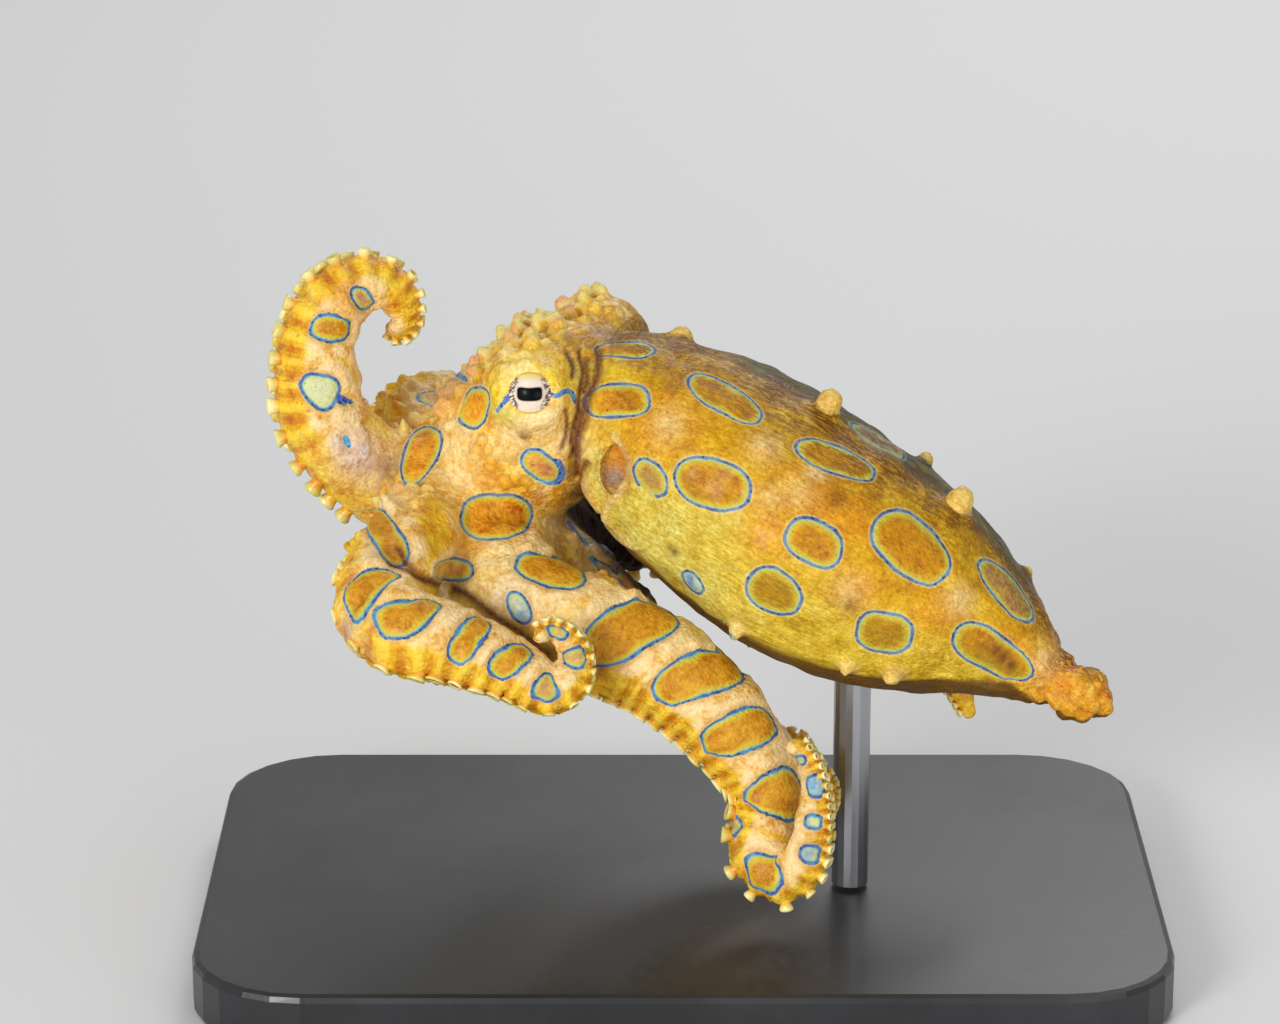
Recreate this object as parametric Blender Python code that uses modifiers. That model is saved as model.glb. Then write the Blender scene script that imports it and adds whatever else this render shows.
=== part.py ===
"""A life-size still model of a blue ringed octopus, swimming, held on a plain display stand.

Sizes are in millimetres up to the moment that a mesh is made, and MM turns them into metres.
The animal is laid out along three axes of its own: right (towards the mantle's tip), up, and
away (to the animal's right-hand side). place() leans them over and lifts them onto the stand.
"""
import math

import bmesh
import bpy
import numpy as np
from mathutils import Matrix, Vector
from mathutils.bvhtree import BVHTree

MM = 0.001
GAP = 0.3
MERGE = 0.002  # points nearer to each other than this become one
LEAN = math.radians(18.0)

# The animal's placing above the stand's foot, which is the origin
SHIFT_X, SHIFT_Y, LIFT = -3.0, -2.0, 31.6

# The mantle is a sac on one straight axis, from the nape to the tip
MANTLE_START = (-4.0, 6.5, 1.5)
MANTLE_TIP = (32.7, -13.4, -5.0)
MANTLE_UP = (0.472, 0.8816, 0.0)
MANTLE_WIDTH = 1.04  # its breadth over its height
# Share of the length, half height, and how far the middle lies above the axis
MANTLE_STATIONS = (
    (-0.045, 3.0, 2.6), (0.0, 5.0, 2.1), (0.085, 6.5, 1.5), (0.17, 7.8, 1.3), (0.30, 8.6, 0.8),
    (0.43, 8.75, 0.35), (0.55, 8.15, 0.2), (0.66, 6.85, 0.45), (0.78, 4.45, 0.3),
    (0.86, 2.55, -0.1), (0.90, 1.6, -0.4), (0.955, 1.85, -0.2), (1.0, 1.1, -0.1),
)
MANTLE_KEEL = 0.45  # the low fold of skin along each flank
KEEL_ANGLE = math.radians(144.0)

# The head, its axis from the nape to the mouth, and the crown of arms on it
HEAD_CENTRE = (-7.8, 5.8, 2.2)
HEAD_HALF = (8.0, 6.2, 6.9)  # along the axis, upwards, sideways
FORWARD = (-0.66, -0.58, 0.47)
DORSAL = (-0.593, 0.791, 0.148)
CROWN_CENTRE = (-11.6, -0.6, 3.3)
CROWN_RADIUS = 8.3
CROWN_HALF_DEPTH = 4.6
CROWN_CUT = -4.4  # where head and crown part, along FORWARD from the crown's centre
NECK_RADIUS = 5.6
# Where head and mantle part: a plane through a point, facing forwards
NECK_POINT = (-2.75, 8.0, -5.0)
NECK_FACING = (-0.962, -0.056, 0.267)
MOUTH_RADIUS = 1.7
LIP_THICKNESS = 0.6

# Low warts of skin, strewn over the head by a seeded draw
WARTS, WART_SEED = 20, 8
WART_RADII = (0.4, 0.75)
WART_SPACING = 1.7
WART_LOWEST = -0.15  # the height of a wart's direction from the head's centre
HEAD_REACH = 20.0

# Eyes: centre of each ball, on a swelling of the head with a round lid
EYE_RADIUS = 1.95
EYE_SWELLING = 3.9
EYE_DEPTH = 2.4  # of the swelling's centre behind the eye's
EYES = {"left": (-7.5, 8.2, -5.0), "right": (-3.3, 12.9, 7.3)}
EYE_LOOKS = {"left": (-0.035, -0.03, -1.0), "right": (-0.08, 0.50, 0.86)}
LID_THICKNESS = 0.55
LID_AHEAD = 0.95  # of the lid's ring, in front of the eye's centre

# The funnel's mouth: an oval lobe with a cup in it, in the corner of the mantle's opening
FUNNEL_CENTRE = (-2.3, 2.9, -3.5)
FUNNEL_LOOKS = (0.12, -0.04, -0.99)
FUNNEL_HALF = (1.6, 2.7, 2.6)  # across, upwards, outwards
FUNNEL_CUP_HALF = (1.1, 1.9, 1.3)
FUNNEL_CUP_AT = (0.3, 0.0, 2.7)  # its centre from the funnel's, along the same axes

# The free margin of the mantle round the funnel: right, up
MARGIN = ((-1.9, 5.4), (-0.9, 4.3), (-0.4, 2.9), (-0.9, 1.6), (-1.9, 0.5), (-2.0, -0.5), (-1.2, -1.6),
          (0.3, -2.9))
MARGIN_RADIUS = 0.4

# Arms, from the dorsal pair to the ventral one. Each leaves the crown at an angle about the
# mouth, from the animal's back towards its left side, and the web joins it to its neighbours
# as far as its "free" length. The rest of its route is given as (right, up, away). Its suckers
# face the mouth's side at the root, and roll over one stretch of the arm to the outer side of
# its curl, whose axis is the hinge.
ROOT_REACHES = (4.0, 8.0)
ROLL_BEGINS, ROLL_ENDS = 0.08, 0.5  # shares of the arm's length
TAPER = 1.5
ARMS = {
    "arm_left_1": {
        "angle": 32, "ahead": 2.0, "free": 6.0, "root": 3.2, "tip": 0.55, "fullness": 3.1,
        "hinge": (0, 0, -1),
        "route": ((-21.9, 6.0, 0.2), (-22.6, 9.2, -0.5), (-22.5, 12.1, -1.0), (-21.6, 14.3, -1.2),
                  (-20.0, 15.7, -1.2), (-18.2, 16.0, -0.9), (-16.9, 15.1, -0.4), (-16.4, 13.7, 0.4),
                  (-16.9, 12.8, 1.8), (-17.9, 13.1, 3.2)),
    },
    "arm_left_2": {
        "angle": 88, "ahead": 0.0, "free": 7.0, "root": 3.3, "tip": 0.5, "fullness": 3.1,
        "hinge": (0, 0, 1),
        "route": ((-16.7, -4.0, -7.5), (-17.6, -6.4, -10.3), (-15.9, -8.1, -12.1), (-13.3, -8.8, -12.4),
                  (-10.8, -9.7, -12.3), (-8.4, -10.8, -12.0), (-6.3, -12.0, -12.0), (-4.7, -11.4, -12.0),
                  (-4.3, -9.8, -12.1), (-5.0, -8.4, -12.4), (-6.2, -7.9, -12.9), (-7.1, -8.5, -13.5)),
    },
    "arm_left_3": {
        "angle": 140, "ahead": -1.5, "free": 12.5, "root": 4.0, "tip": 0.6, "fullness": 2.4,
        "hinge": (0.2, 0.3, 0.9),
        "route": ((-6.0, -7.4, -4.7), (-2.4, -8.8, -5.0), (1.0, -10.4, -5.0), (4.1, -12.7, -5.0),
                  (6.4, -15.2, -5.0), (8.1, -17.6, -5.0), (8.8, -19.8, -5.2), (8.4, -21.8, -5.6),
                  (8.3, -23.6, -6.3), (9.6, -25.0, -7.2), (11.0, -24.2, -8.1), (11.7, -22.4, -8.9),
                  (11.9, -20.6, -9.6), (11.9, -18.8, -10.0), (11.4, -16.9, -10.3), (10.2, -15.4, -10.6)),
    },
    "arm_left_4": {
        "angle": 172, "ahead": -1.0, "free": 8.8, "root": 3.0, "tip": 0.5, "fullness": 3.0,
        "hinge": (0, 0, 1),
        "route": ((-4.0, -8.9, 2.0), (-1.0, -10.3, 3.0), (1.8, -12.0, 3.4), (4.6, -14.2, 3.4),
                  (6.8, -16.8, 3.2), (8.4, -19.4, 2.8), (10.0, -21.5, 2.2), (12.0, -21.6, 1.8),
                  (13.0, -19.8, 1.8), (12.3, -18.0, 2.4), (10.8, -17.6, 3.4)),
    },
    "arm_right_4": {
        "angle": -146, "ahead": -1.0, "free": 10.0, "root": 3.0, "tip": 0.5, "fullness": 2.8,
        "hinge": (0, 0, 1),
        "route": ((-1.6, -7.8, 9.8), (1.4, -11.0, 11.6), (4.4, -14.2, 12.0), (6.9, -17.2, 11.6),
                  (9.0, -19.3, 11.0), (11.0, -19.4, 10.8), (12.0, -17.9, 11.2), (11.2, -16.5, 12.0),
                  (9.8, -16.6, 12.6)),
    },
    "arm_right_3": {
        "angle": -106, "ahead": -1.0, "free": 9.8, "root": 3.1, "tip": 0.55, "fullness": 4.4,
        "hinge": (0, 0, 1),
        "route": ((-1.4, -1.2, 13.6), (3.2, -0.8, 14.4), (7.8, -1.8, 14.4), (12.0, -4.0, 13.8),
                  (16.0, -6.6, 12.8), (19.6, -8.8, 11.6), (22.0, -11.0, 10.6), (23.2, -13.2, 10.0),
                  (24.0, -15.0, 9.6)),
    },
    "arm_right_2": {
        "angle": -66, "ahead": 0.0, "free": 8.0, "root": 3.1, "tip": 0.5, "fullness": 2.6,
        "hinge": (0, 1, 0),
        "route": ((-9.6, 2.4, 17.0), (-9.0, 1.0, 21.2), (-6.4, 0.6, 24.0), (-3.2, 1.0, 23.8),
                  (-1.8, 1.6, 21.2), (-3.2, 2.0, 19.0), (-5.2, 2.2, 19.4)),
    },
    "arm_right_1": {
        "angle": -24, "ahead": 2.2, "free": 9.5, "root": 3.0, "tip": 0.5, "fullness": 2.6,
        "hinge": (0, 1, 0),
        "route": ((-16.0, 7.0, 13.4), (-15.0, 7.8, 17.6), (-12.2, 8.4, 20.2), (-8.8, 8.8, 20.2),
                  (-6.8, 9.0, 17.8), (-7.6, 9.2, 15.6), (-9.6, 9.2, 15.8)),
    },
}
ARM_SHARES = (("base", 0.0, 0.38), ("middle", 0.38, 0.68), ("end", 0.68, 1.0))
ARM_STEP = 1.5
TIP_REACH, TIP_CLOSE = 0.7, 0.45  # the round end of an arm, over its tip's radius
ROPE_BEVEL = 3

# Suckers: two rows along the outer side of each arm, each a flared cup
SUCKER_ROWS = math.radians(30.0)
SUCKER_RADIUS = 0.31  # its rim over the arm's radius there
SUCKER_LEAST, SUCKER_MOST = 0.36, 0.8
SUCKER_PITCH = 1.95  # from a sucker to the next one, in the other row, over the rim's radius
SUCKER_SIDES = 6
SUCKER_HEIGHT, SUCKER_FOOT, SUCKER_HOLLOW = 1.5, 0.62, 0.55  # over the rim's radius
SUCKER_START = 3.5  # along the arm, from its root

# Papillae: raised tips of skin on the mantle, by share of its length, degrees from its back
# towards the left side, radius of the ball, and height
PAPILLAE = (
    (0.075, -6, 0.95, 0.9), (0.365, 28, 0.9, 1.4), (0.6275, 31, 0.97, 1.3), (0.53, -10, 0.55, 1.1),
    (0.767, -14, 0.45, 0.8), (0.33, -34, 0.8, 1.3), (0.4085, 150, 0.6, 1.0), (0.5975, 144, 0.42, 0.75),
    (0.6675, 141, 0.55, 0.95), (0.4085, -150, 0.6, 1.0), (0.66, -141, 0.5, 0.9),
)

# The stand: a flat base and one rod up to the mantle
BASE_SIZE = (68.0, 46.0, 4.0)
BASE_CORNER, BASE_EDGE = 8.0, 0.5
ROD_AT = (12.0, -3.4)  # along X and Y; its top is hollowed to the mantle
ROD_RADIUS = 1.3

COLOURS = {
    "skin": (0.80, 0.52, 0.10), "crown": (0.82, 0.60, 0.22), "arm": (0.78, 0.50, 0.12),
    "eye": (0.85, 0.80, 0.66), "funnel": (0.62, 0.36, 0.06), "mouth": (0.16, 0.08, 0.05),
    "base": (0.05, 0.05, 0.055), "rod": (0.55, 0.56, 0.58),
}


def unit(vector):
    vector = np.asarray(vector, float)
    return vector / np.linalg.norm(vector)


def place(points):
    """Points in right, up and away as points above the stand's foot, in millimetres."""
    right, up, away = np.asarray(points, float).reshape(-1, 3).T
    return np.stack([
        right + SHIFT_X,
        up * math.sin(LEAN) + away * math.cos(LEAN) + SHIFT_Y,
        up * math.cos(LEAN) - away * math.sin(LEAN) + LIFT,
    ], axis=1)


def side_of(forward, upward):
    """The direction to the animal's left of a forward and an upward one."""
    return unit(np.cross(forward, upward))


def clear_scene():
    for item in list(bpy.data.objects):
        bpy.data.objects.remove(item)


def material(name, metallic=0.0, roughness=0.45):
    made = bpy.data.materials.get(name) or bpy.data.materials.new(name)
    made.use_nodes = True
    shader = made.node_tree.nodes["Principled BSDF"]
    shader.inputs["Base Color"].default_value = (*COLOURS[name], 1.0)
    shader.inputs["Metallic"].default_value = metallic
    shader.inputs["Roughness"].default_value = roughness
    return made


def loose_object(name, mesh):
    """An object that no collection shows yet."""
    return bpy.data.objects.new(name, mesh)


def object_of(name, bm):
    mesh = bpy.data.meshes.new(name)
    bm.to_mesh(mesh)
    bm.free()
    return loose_object(name, mesh)


def set_points(bm, points):
    """Moves a mesh's vertices to these points of the pose, in millimetres."""
    for vertex, point in zip(bm.verts, place(points) * MM):
        vertex.co = point


def facing_out(bm):
    bmesh.ops.recalc_face_normals(bm, faces=bm.faces)
    if bm.calc_volume(signed=True) < 0:
        bmesh.ops.reverse_faces(bm, faces=bm.faces)


def ball(name, shape, segments, rings):
    """A closed skin: shape turns the points of a unit ball into points of the pose."""
    bm = bmesh.new()
    bmesh.ops.create_uvsphere(bm, u_segments=segments, v_segments=rings, radius=1.0)
    set_points(bm, shape(np.array([v.co for v in bm.verts])))
    facing_out(bm)
    return object_of(name, bm)


def ellipsoid(centre, axes, halves):
    """The shape of an ellipsoid for ball(): its centre, its three axes and its half sizes."""
    axes = np.array(axes, float)
    return lambda unit_ball: np.asarray(centre) + (unit_ball * halves) @ axes


def evaluated_mesh(item):
    """The mesh of an object with its modifiers applied. The object needs no collection."""
    scene = bpy.context.scene.collection
    scene.objects.link(item)
    bpy.context.view_layer.update()
    mesh = bpy.data.meshes.new_from_object(item.evaluated_get(bpy.context.evaluated_depsgraph_get()))
    scene.objects.unlink(item)
    return mesh


def put_in_order(mesh):
    """Sorts a mesh's points and faces, as a Boolean gives them in another order at each run."""
    points = [tuple(vertex.co) for vertex in mesh.vertices]
    order = sorted(range(len(points)), key=points.__getitem__)
    rank = {old: new for new, old in enumerate(order)}
    faces = []
    for polygon in mesh.polygons:
        face = [rank[i] for i in polygon.vertices]
        first = face.index(min(face))
        faces.append(face[first:] + face[:first])
    mesh.clear_geometry()
    mesh.from_pydata([points[i] for i in order], [], sorted(faces))


def keep_largest(mesh):
    """Drops all but the largest closed surface of a mesh."""
    put_in_order(mesh)
    bm = bmesh.new()
    bm.from_mesh(mesh)
    bmesh.ops.remove_doubles(bm, verts=bm.verts, dist=MERGE * MM)
    left, groups = set(bm.faces), []
    while left:
        edge, group = [left.pop()], []
        while edge:
            face = edge.pop()
            group.append(face)
            near = {f for e in face.edges for f in e.link_faces} & left
            left -= near
            edge.extend(near)
        groups.append(group)
    groups.sort(key=len)
    for group in groups[:-1]:
        bmesh.ops.delete(bm, geom=group, context="FACES")
    bm.to_mesh(mesh)
    bm.free()


def rope(name, centres, radii, facings=(None, None)):
    """A round bar through these points of the pose, its ends squared to the facings if given."""
    curve = bpy.data.curves.new(name, "CURVE")
    curve.dimensions = "3D"
    curve.bevel_depth = MM
    curve.bevel_resolution = ROPE_BEVEL
    curve.use_fill_caps = True
    spline = curve.splines.new("POLY")
    spline.points.add(len(centres) - 1)
    for point, centre, radius in zip(spline.points, place(centres) * MM, radii):
        point.co = (*centre, 1.0)
        point.radius = radius
    item = loose_object(name, curve)
    bm = bmesh.new()
    bm.from_mesh(evaluated_mesh(item))
    bpy.data.objects.remove(item)
    bmesh.ops.remove_doubles(bm, verts=bm.verts, dist=0.01 * MM)
    square_end(bm, centres[0], centres[1], radii[0], facings[0])
    square_end(bm, centres[-1], centres[-2], radii[-1], facings[1])
    facing_out(bm)
    return object_of(name, bm)


def square_end(bm, end, inner, radius, facing):
    """Slides the rim of a rope's end along the rope until it lies square to a direction."""
    if facing is None:
        return
    at, before, ahead = place([end, inner, end + facing]) * MM
    along, facing = unit(at - before), unit(ahead - at)
    for vertex in bm.verts:
        from_end = np.array(vertex.co) - at
        if abs(from_end @ along) < 0.01 * MM and np.linalg.norm(from_end) < radius * 1.3 * MM:
            vertex.co = np.array(vertex.co) - along * (from_end @ facing) / (along @ facing)


def fuse(body, pieces, operation="UNION", solver="EXACT"):
    """Joins the pieces to a body, or cuts them from it, as one closed surface."""
    group = bpy.data.collections.new(body.name + "_pieces")
    for piece in pieces:
        group.objects.link(piece)
    bpy.context.scene.collection.children.link(group)
    joint = body.modifiers.new("join", "BOOLEAN")
    joint.operation, joint.operand_type, joint.solver = operation, "COLLECTION", solver
    joint.collection = group
    mesh = evaluated_mesh(body)
    body.modifiers.clear()
    body.data = mesh
    for piece in pieces:
        bpy.data.objects.remove(piece)
    bpy.data.collections.remove(group)
    keep_largest(body.data)
    return body


def cut_plane(body, point, outward):
    """Takes off what lies beyond a plane, in the pose's own axes, and closes the face."""
    at, beyond = place([point, np.asarray(point) + outward]) * MM
    bm = bmesh.new()
    bm.from_mesh(body.data)
    found = bmesh.ops.bisect_plane(
        bm, geom=bm.verts[:] + bm.edges[:] + bm.faces[:], dist=1e-7,
        plane_co=at, plane_no=Vector(beyond - at).normalized(), clear_outer=True)
    edges = [g for g in found["geom_cut"] if isinstance(g, bmesh.types.BMEdge)]
    bmesh.ops.contextual_create(bm, geom=edges)
    bmesh.ops.triangulate(bm, faces=[f for f in bm.faces if len(f.verts) > 4])
    facing_out(bm)
    bm.to_mesh(body.data)
    bm.free()
    keep_largest(body.data)
    return body


def finish(item, name, finish_name, parent, smooth=40.0, **look):
    """Names an object, gives it its finish and puts it in the model."""
    item.name = item.data.name = name
    item.data.materials.clear()
    item.data.materials.append(material(finish_name, **look))
    item.data.shade_smooth()
    item.data.set_sharp_from_angle(angle=math.radians(smooth))
    item.parent = parent
    bpy.data.collections["octopus"].objects.link(item)
    return item


# Mantle
def mantle_axes():
    """Start, length, and the directions along, up and to the left of the mantle."""
    start, tip = np.array(MANTLE_START), np.array(MANTLE_TIP)
    along = unit(tip - start)
    left = side_of(-along, MANTLE_UP)
    return start, np.linalg.norm(tip - start), along, unit(np.cross(left, -along)), left


def mantle_section(share):
    """Half height and rise of the middle at a share of the mantle's length."""
    shares, halves, rises = np.array(MANTLE_STATIONS).T
    return smooth_steps(share, shares, halves), smooth_steps(share, shares, rises)


def smooth_steps(at, places, values):
    """A smooth line through a few values, with the slope at each from its neighbours."""
    slopes = np.gradient(values, places)
    at = np.clip(at, places[0], places[-1])
    i = np.clip(np.searchsorted(places, at, side="right") - 1, 0, len(places) - 2)
    width = places[i + 1] - places[i]
    t = (at - places[i]) / width
    return ((1 + 2 * t) * (1 - t) ** 2 * values[i] + t * (1 - t) ** 2 * width * slopes[i]
            + t * t * (3 - 2 * t) * values[i + 1] + t * t * (t - 1) * width * slopes[i + 1])


def mantle_point(share, angle, out=0.0):
    """A point on the mantle: angle 0 is the back, and positive angles turn to the left."""
    start, length, along, up, left = mantle_axes()
    half, rise = mantle_section(share)
    keel = MANTLE_KEEL * np.exp(-((np.abs(angle) - KEEL_ANGLE) / 0.2) ** 2) * np.clip(half / 6, 0, 1)
    height = (half + out + keel) * np.cos(angle) + rise
    breadth = (half * MANTLE_WIDTH + out + keel) * np.sin(angle)
    return (start + np.multiply.outer(share * length, along)
            + np.multiply.outer(height, up) + np.multiply.outer(breadth, left))


def mantle_shape(swell=0.0):
    """Turns a unit ball into the mantle: its poles become the nape and the tip."""
    first, last = MANTLE_STATIONS[0][0], MANTLE_STATIONS[-1][0]
    start, length, along, up, _ = mantle_axes()

    def shape(unit_ball):
        polar = np.arccos(np.clip(unit_ball[:, 2], -1, 1)) / math.pi
        share = first + (last - first) * polar
        angle = np.arctan2(unit_ball[:, 1], unit_ball[:, 0])
        closed = np.clip(np.sin(np.clip(polar, 0, 1) * math.pi) * 6.0, 0, 1) ** 0.5
        points = mantle_point(share, angle, swell)
        rise = mantle_section(share)[1]
        middle = start + np.multiply.outer(share * length, along) + np.multiply.outer(rise, up)
        return middle + (points - middle) * closed[:, None]

    return shape


def papilla(share, degrees, radius, height):
    """A neck of skin with a round top, its foot sunk into the mantle."""
    angle = math.radians(degrees)
    foot = mantle_point(np.array([share]), np.array([angle]), -0.8)[0]
    top = mantle_point(np.array([share]), np.array([angle]), height)[0]
    axis = unit(top - foot)
    across = unit(np.cross(axis, (0.3, 0.2, 0.9)))
    reach = np.linalg.norm(top - foot) * 0.5 + radius * 0.5

    def shape(unit_ball):
        waist = 1.0 - 0.28 * np.exp(-((unit_ball[:, 2] - 0.15) / 0.3) ** 2)
        foot_flare = 1.0 + 0.7 * np.clip(-unit_ball[:, 2], 0, 1) ** 2
        flat = unit_ball[:, :2] * (radius * waist * foot_flare)[:, None]
        return (foot + top) / 2 + np.multiply.outer(flat[:, 0], across) + np.multiply.outer(
            flat[:, 1], np.cross(axis, across)) + np.multiply.outer(unit_ball[:, 2] * reach, axis)

    return ball("papilla", shape, 7, 6)


def surface_at(body, right, up):
    """Where a line in the away direction first meets a body, in the pose's own axes."""
    near, far = place([(right, up, -60.0), (right, up, 60.0)]) * MM
    bm = bmesh.new()
    bm.from_mesh(body.data)
    met = BVHTree.FromBMesh(bm).ray_cast(Vector(near), Vector(far - near).normalized())
    bm.free()
    return np.array([right, up, -60.0 + met[3] / MM])


def margin(body):
    """The rolled edge of the mantle, as a rope laid on its skin."""
    points = [surface_at(body, *at) for at in MARGIN]
    return rope("margin", np.array(points) + (0, 0, 0.05), np.full(len(points), MARGIN_RADIUS))


def build_mantle(parent):
    body = ball("mantle", mantle_shape(), 26, 22)
    fuse(body, [papilla(*entry) for entry in PAPILLAE])
    fuse(body, [margin(body)])
    fuse(body, [funnel_body(GAP)], "DIFFERENCE")
    facing = unit(NECK_FACING)
    cut_plane(body, NECK_POINT - facing * GAP, facing)
    finish(body, "mantle", "skin", parent)


# Arms
def reach_of(arm):
    """The direction in which an arm leaves the crown."""
    _, up, left = head_axes()
    angle = math.radians(ARMS[arm]["angle"])
    return up * math.cos(angle) + left * math.sin(angle)


def route_of(arm):
    """Points along the middle of an arm, the share of the way at each, and its length."""
    spec, forward, reach = ARMS[arm], unit(FORWARD), reach_of(arm)
    roots = [np.array(CROWN_CENTRE) + reach * r + forward * spec["ahead"] for r in ROOT_REACHES]
    points = np.vstack([roots, np.array(spec["route"], float)])
    ends = np.vstack([2 * points[0] - points[1], points, 2 * points[-1] - points[-2]])
    t = np.linspace(0, 1, 24, endpoint=False)[:, None]
    fine = [
        0.5 * (2 * b + (c - a) * t + (2 * a - 5 * b + 4 * c - d) * t ** 2 + (3 * b - a - 3 * c + d) * t ** 3)
        for a, b, c, d in zip(ends, ends[1:], ends[2:], ends[3:])
    ]
    fine = np.vstack([*fine, points[-1:]])
    run = np.concatenate([[0], np.cumsum(np.linalg.norm(np.diff(fine, axis=0), axis=1))])
    return fine, run / run[-1], run[-1]


def arm_at(arm, share):
    """Centre, heading, outward (sucker) direction and radius at shares of an arm's length."""
    spec = ARMS[arm]
    fine, shares, length = route_of(arm)
    share = np.atleast_1d(np.asarray(share, float))
    step = 0.6 / length

    def centre(at):
        return np.stack([np.interp(at, shares, fine[:, i]) for i in range(3)], axis=1)

    heading = centre(np.clip(share + step, 0, 1)) - centre(np.clip(share - step, 0, 1))
    heading /= np.linalg.norm(heading, axis=1)[:, None]
    roll = np.clip((share - ROLL_BEGINS) / (ROLL_ENDS - ROLL_BEGINS), 0, 1)[:, None]
    roll = roll * roll * (3 - 2 * roll)
    hinge = np.cross(unit(FORWARD), reach_of(arm)) * (1 - roll) + unit(spec["hinge"]) * roll
    outward = np.cross(heading, hinge)
    outward /= np.linalg.norm(outward, axis=1)[:, None]
    radius = spec["tip"] + (spec["root"] - spec["tip"]) * (1 - share ** spec["fullness"]) ** TAPER
    return centre(share), heading, outward, radius


def tube(name, arm, first, last):
    """A length of an arm as a closed tube, half a gap short of its neighbours' flat faces."""
    count = max(3, round((last - first) * route_of(arm)[2] / ARM_STEP))
    centres, headings, _, radii = arm_at(arm, np.linspace(first, last, count))
    facings = [headings[0], headings[-1]]
    if first > 0:
        centres[0] += headings[0] * GAP / 2
    if last < 1:
        centres[-1] -= headings[-1] * GAP / 2
    else:
        end = centres[-1] + headings[-1] * radii[-1] * TIP_REACH
        centres, radii = np.vstack([centres, end]), np.append(radii, radii[-1] * TIP_CLOSE)
        facings[1] = None
    return rope(name, centres, radii, facings)


def sucker(centre, outward, radius):
    """A cup that flares to its rim, its root sunk into the arm."""
    bm = bmesh.new()
    bmesh.ops.create_cone(
        bm, segments=SUCKER_SIDES, cap_ends=True, radius1=radius * SUCKER_FOOT, radius2=radius,
        depth=radius * SUCKER_HEIGHT)
    top = max(bm.faces, key=lambda f: f.calc_center_median().z)
    hollow = bmesh.ops.poke(bm, faces=[top])["verts"][0]
    hollow.co.z -= radius * SUCKER_HOLLOW
    here, there = place([centre, centre + outward])
    turn = Vector(there - here).to_track_quat("Z", "Y").to_matrix().to_4x4()
    bm.transform(Matrix.Translation(here * MM) @ turn @ Matrix.Scale(MM, 4))
    return object_of("sucker", bm)


def sucker_rim(arm_radius):
    return min(max(SUCKER_LEAST, arm_radius * SUCKER_RADIUS), SUCKER_MOST)


def sucker_shares(arm):
    """Shares of the arm's length at which the suckers stand, closer where the arm is thin."""
    length = route_of(arm)[2]
    share, found = SUCKER_START / length, []
    while share < 0.985:
        found.append(share)
        share += sucker_rim(arm_at(arm, share)[3][0]) * SUCKER_PITCH / length
    return found


def suckers(arm, first, last):
    """The suckers between two shares of an arm, in two staggered rows."""
    made = []
    for i, share in enumerate(sucker_shares(arm)):
        centres, headings, outwards, radii = arm_at(arm, share)
        rim = sucker_rim(radii[0])
        margin = (rim * 1.15 + GAP / 2) / route_of(arm)[2]
        if not first + margin < share < last - (margin if last < 1 else 0):
            continue
        row = SUCKER_ROWS if i % 2 else -SUCKER_ROWS
        across = np.cross(headings[0], outwards[0])
        out = outwards[0] * math.cos(row) + across * math.sin(row)
        made.append(sucker(centres[0] + out * (radii[0] + rim * 0.1), out, rim))
    return made


def build_arms(parent):
    for arm in ARMS:
        root = ARMS[arm]["free"] / route_of(arm)[2]
        for name, first, last in ARM_SHARES:
            begin, end = root + (1 - root) * first, root + (1 - root) * last
            body = fuse(tube(f"{arm}_{name}", arm, begin, end), suckers(arm, begin, end))
            finish(body, f"{arm}_{name}", "arm", parent)


# Head and crown
def head_axes():
    forward = unit(FORWARD)
    left = side_of(forward, DORSAL)
    return forward, unit(np.cross(left, forward)), left


def neck():
    """The stalk from the head into the mantle."""
    start, _, along, up, left = mantle_axes()
    centre = start - along * 1.5 + up * 0.9
    return ball("neck", ellipsoid(centre, (along, up, left), (6.5, NECK_RADIUS, NECK_RADIUS + 0.6)), 16, 10)


def head_cut():
    """The point on the head's axis where head and crown part."""
    return np.array(CROWN_CENTRE) + unit(FORWARD) * CROWN_CUT


def head_core():
    forward, up, left = head_axes()
    body = ball("head", ellipsoid(HEAD_CENTRE, (forward, up, left), HEAD_HALF), 20, 14)
    disc = ellipsoid(CROWN_CENTRE, (forward, up, left), (CROWN_HALF_DEPTH, CROWN_RADIUS, CROWN_RADIUS))
    pieces = [ball("disc", disc, 20, 12), neck()]
    for side, centre in EYES.items():
        inner = np.array(centre) - unit(EYE_LOOKS[side]) * EYE_DEPTH
        swelling = ellipsoid(inner, np.eye(3), (EYE_SWELLING,) * 3)
        pieces.append(ball("swelling", swelling, 14, 10))
    return fuse(body, pieces)


def ring(centre, facing, radius, thickness):
    """A round fold of skin that faces along a direction of the pose."""
    here, there = place([centre, centre + facing])
    bpy.ops.mesh.primitive_torus_add(
        major_segments=16, minor_segments=6, major_radius=radius * MM, minor_radius=thickness * MM)
    item = bpy.context.object
    turn = Vector(there - here).to_track_quat("Z", "Y").to_matrix().to_4x4()
    item.data.transform(Matrix.Translation(here * MM) @ turn)
    for collection in list(item.users_collection):
        collection.objects.unlink(item)
    return item


def lid(side):
    """The round fold of skin about an eye."""
    look = unit(EYE_LOOKS[side])
    return ring(np.array(EYES[side]) + look * LID_AHEAD, look, EYE_RADIUS + 0.1, LID_THICKNESS)


def eyeball(side, radius):
    return ball("eye", ellipsoid(EYES[side], np.eye(3), (radius,) * 3), 16, 12)


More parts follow.
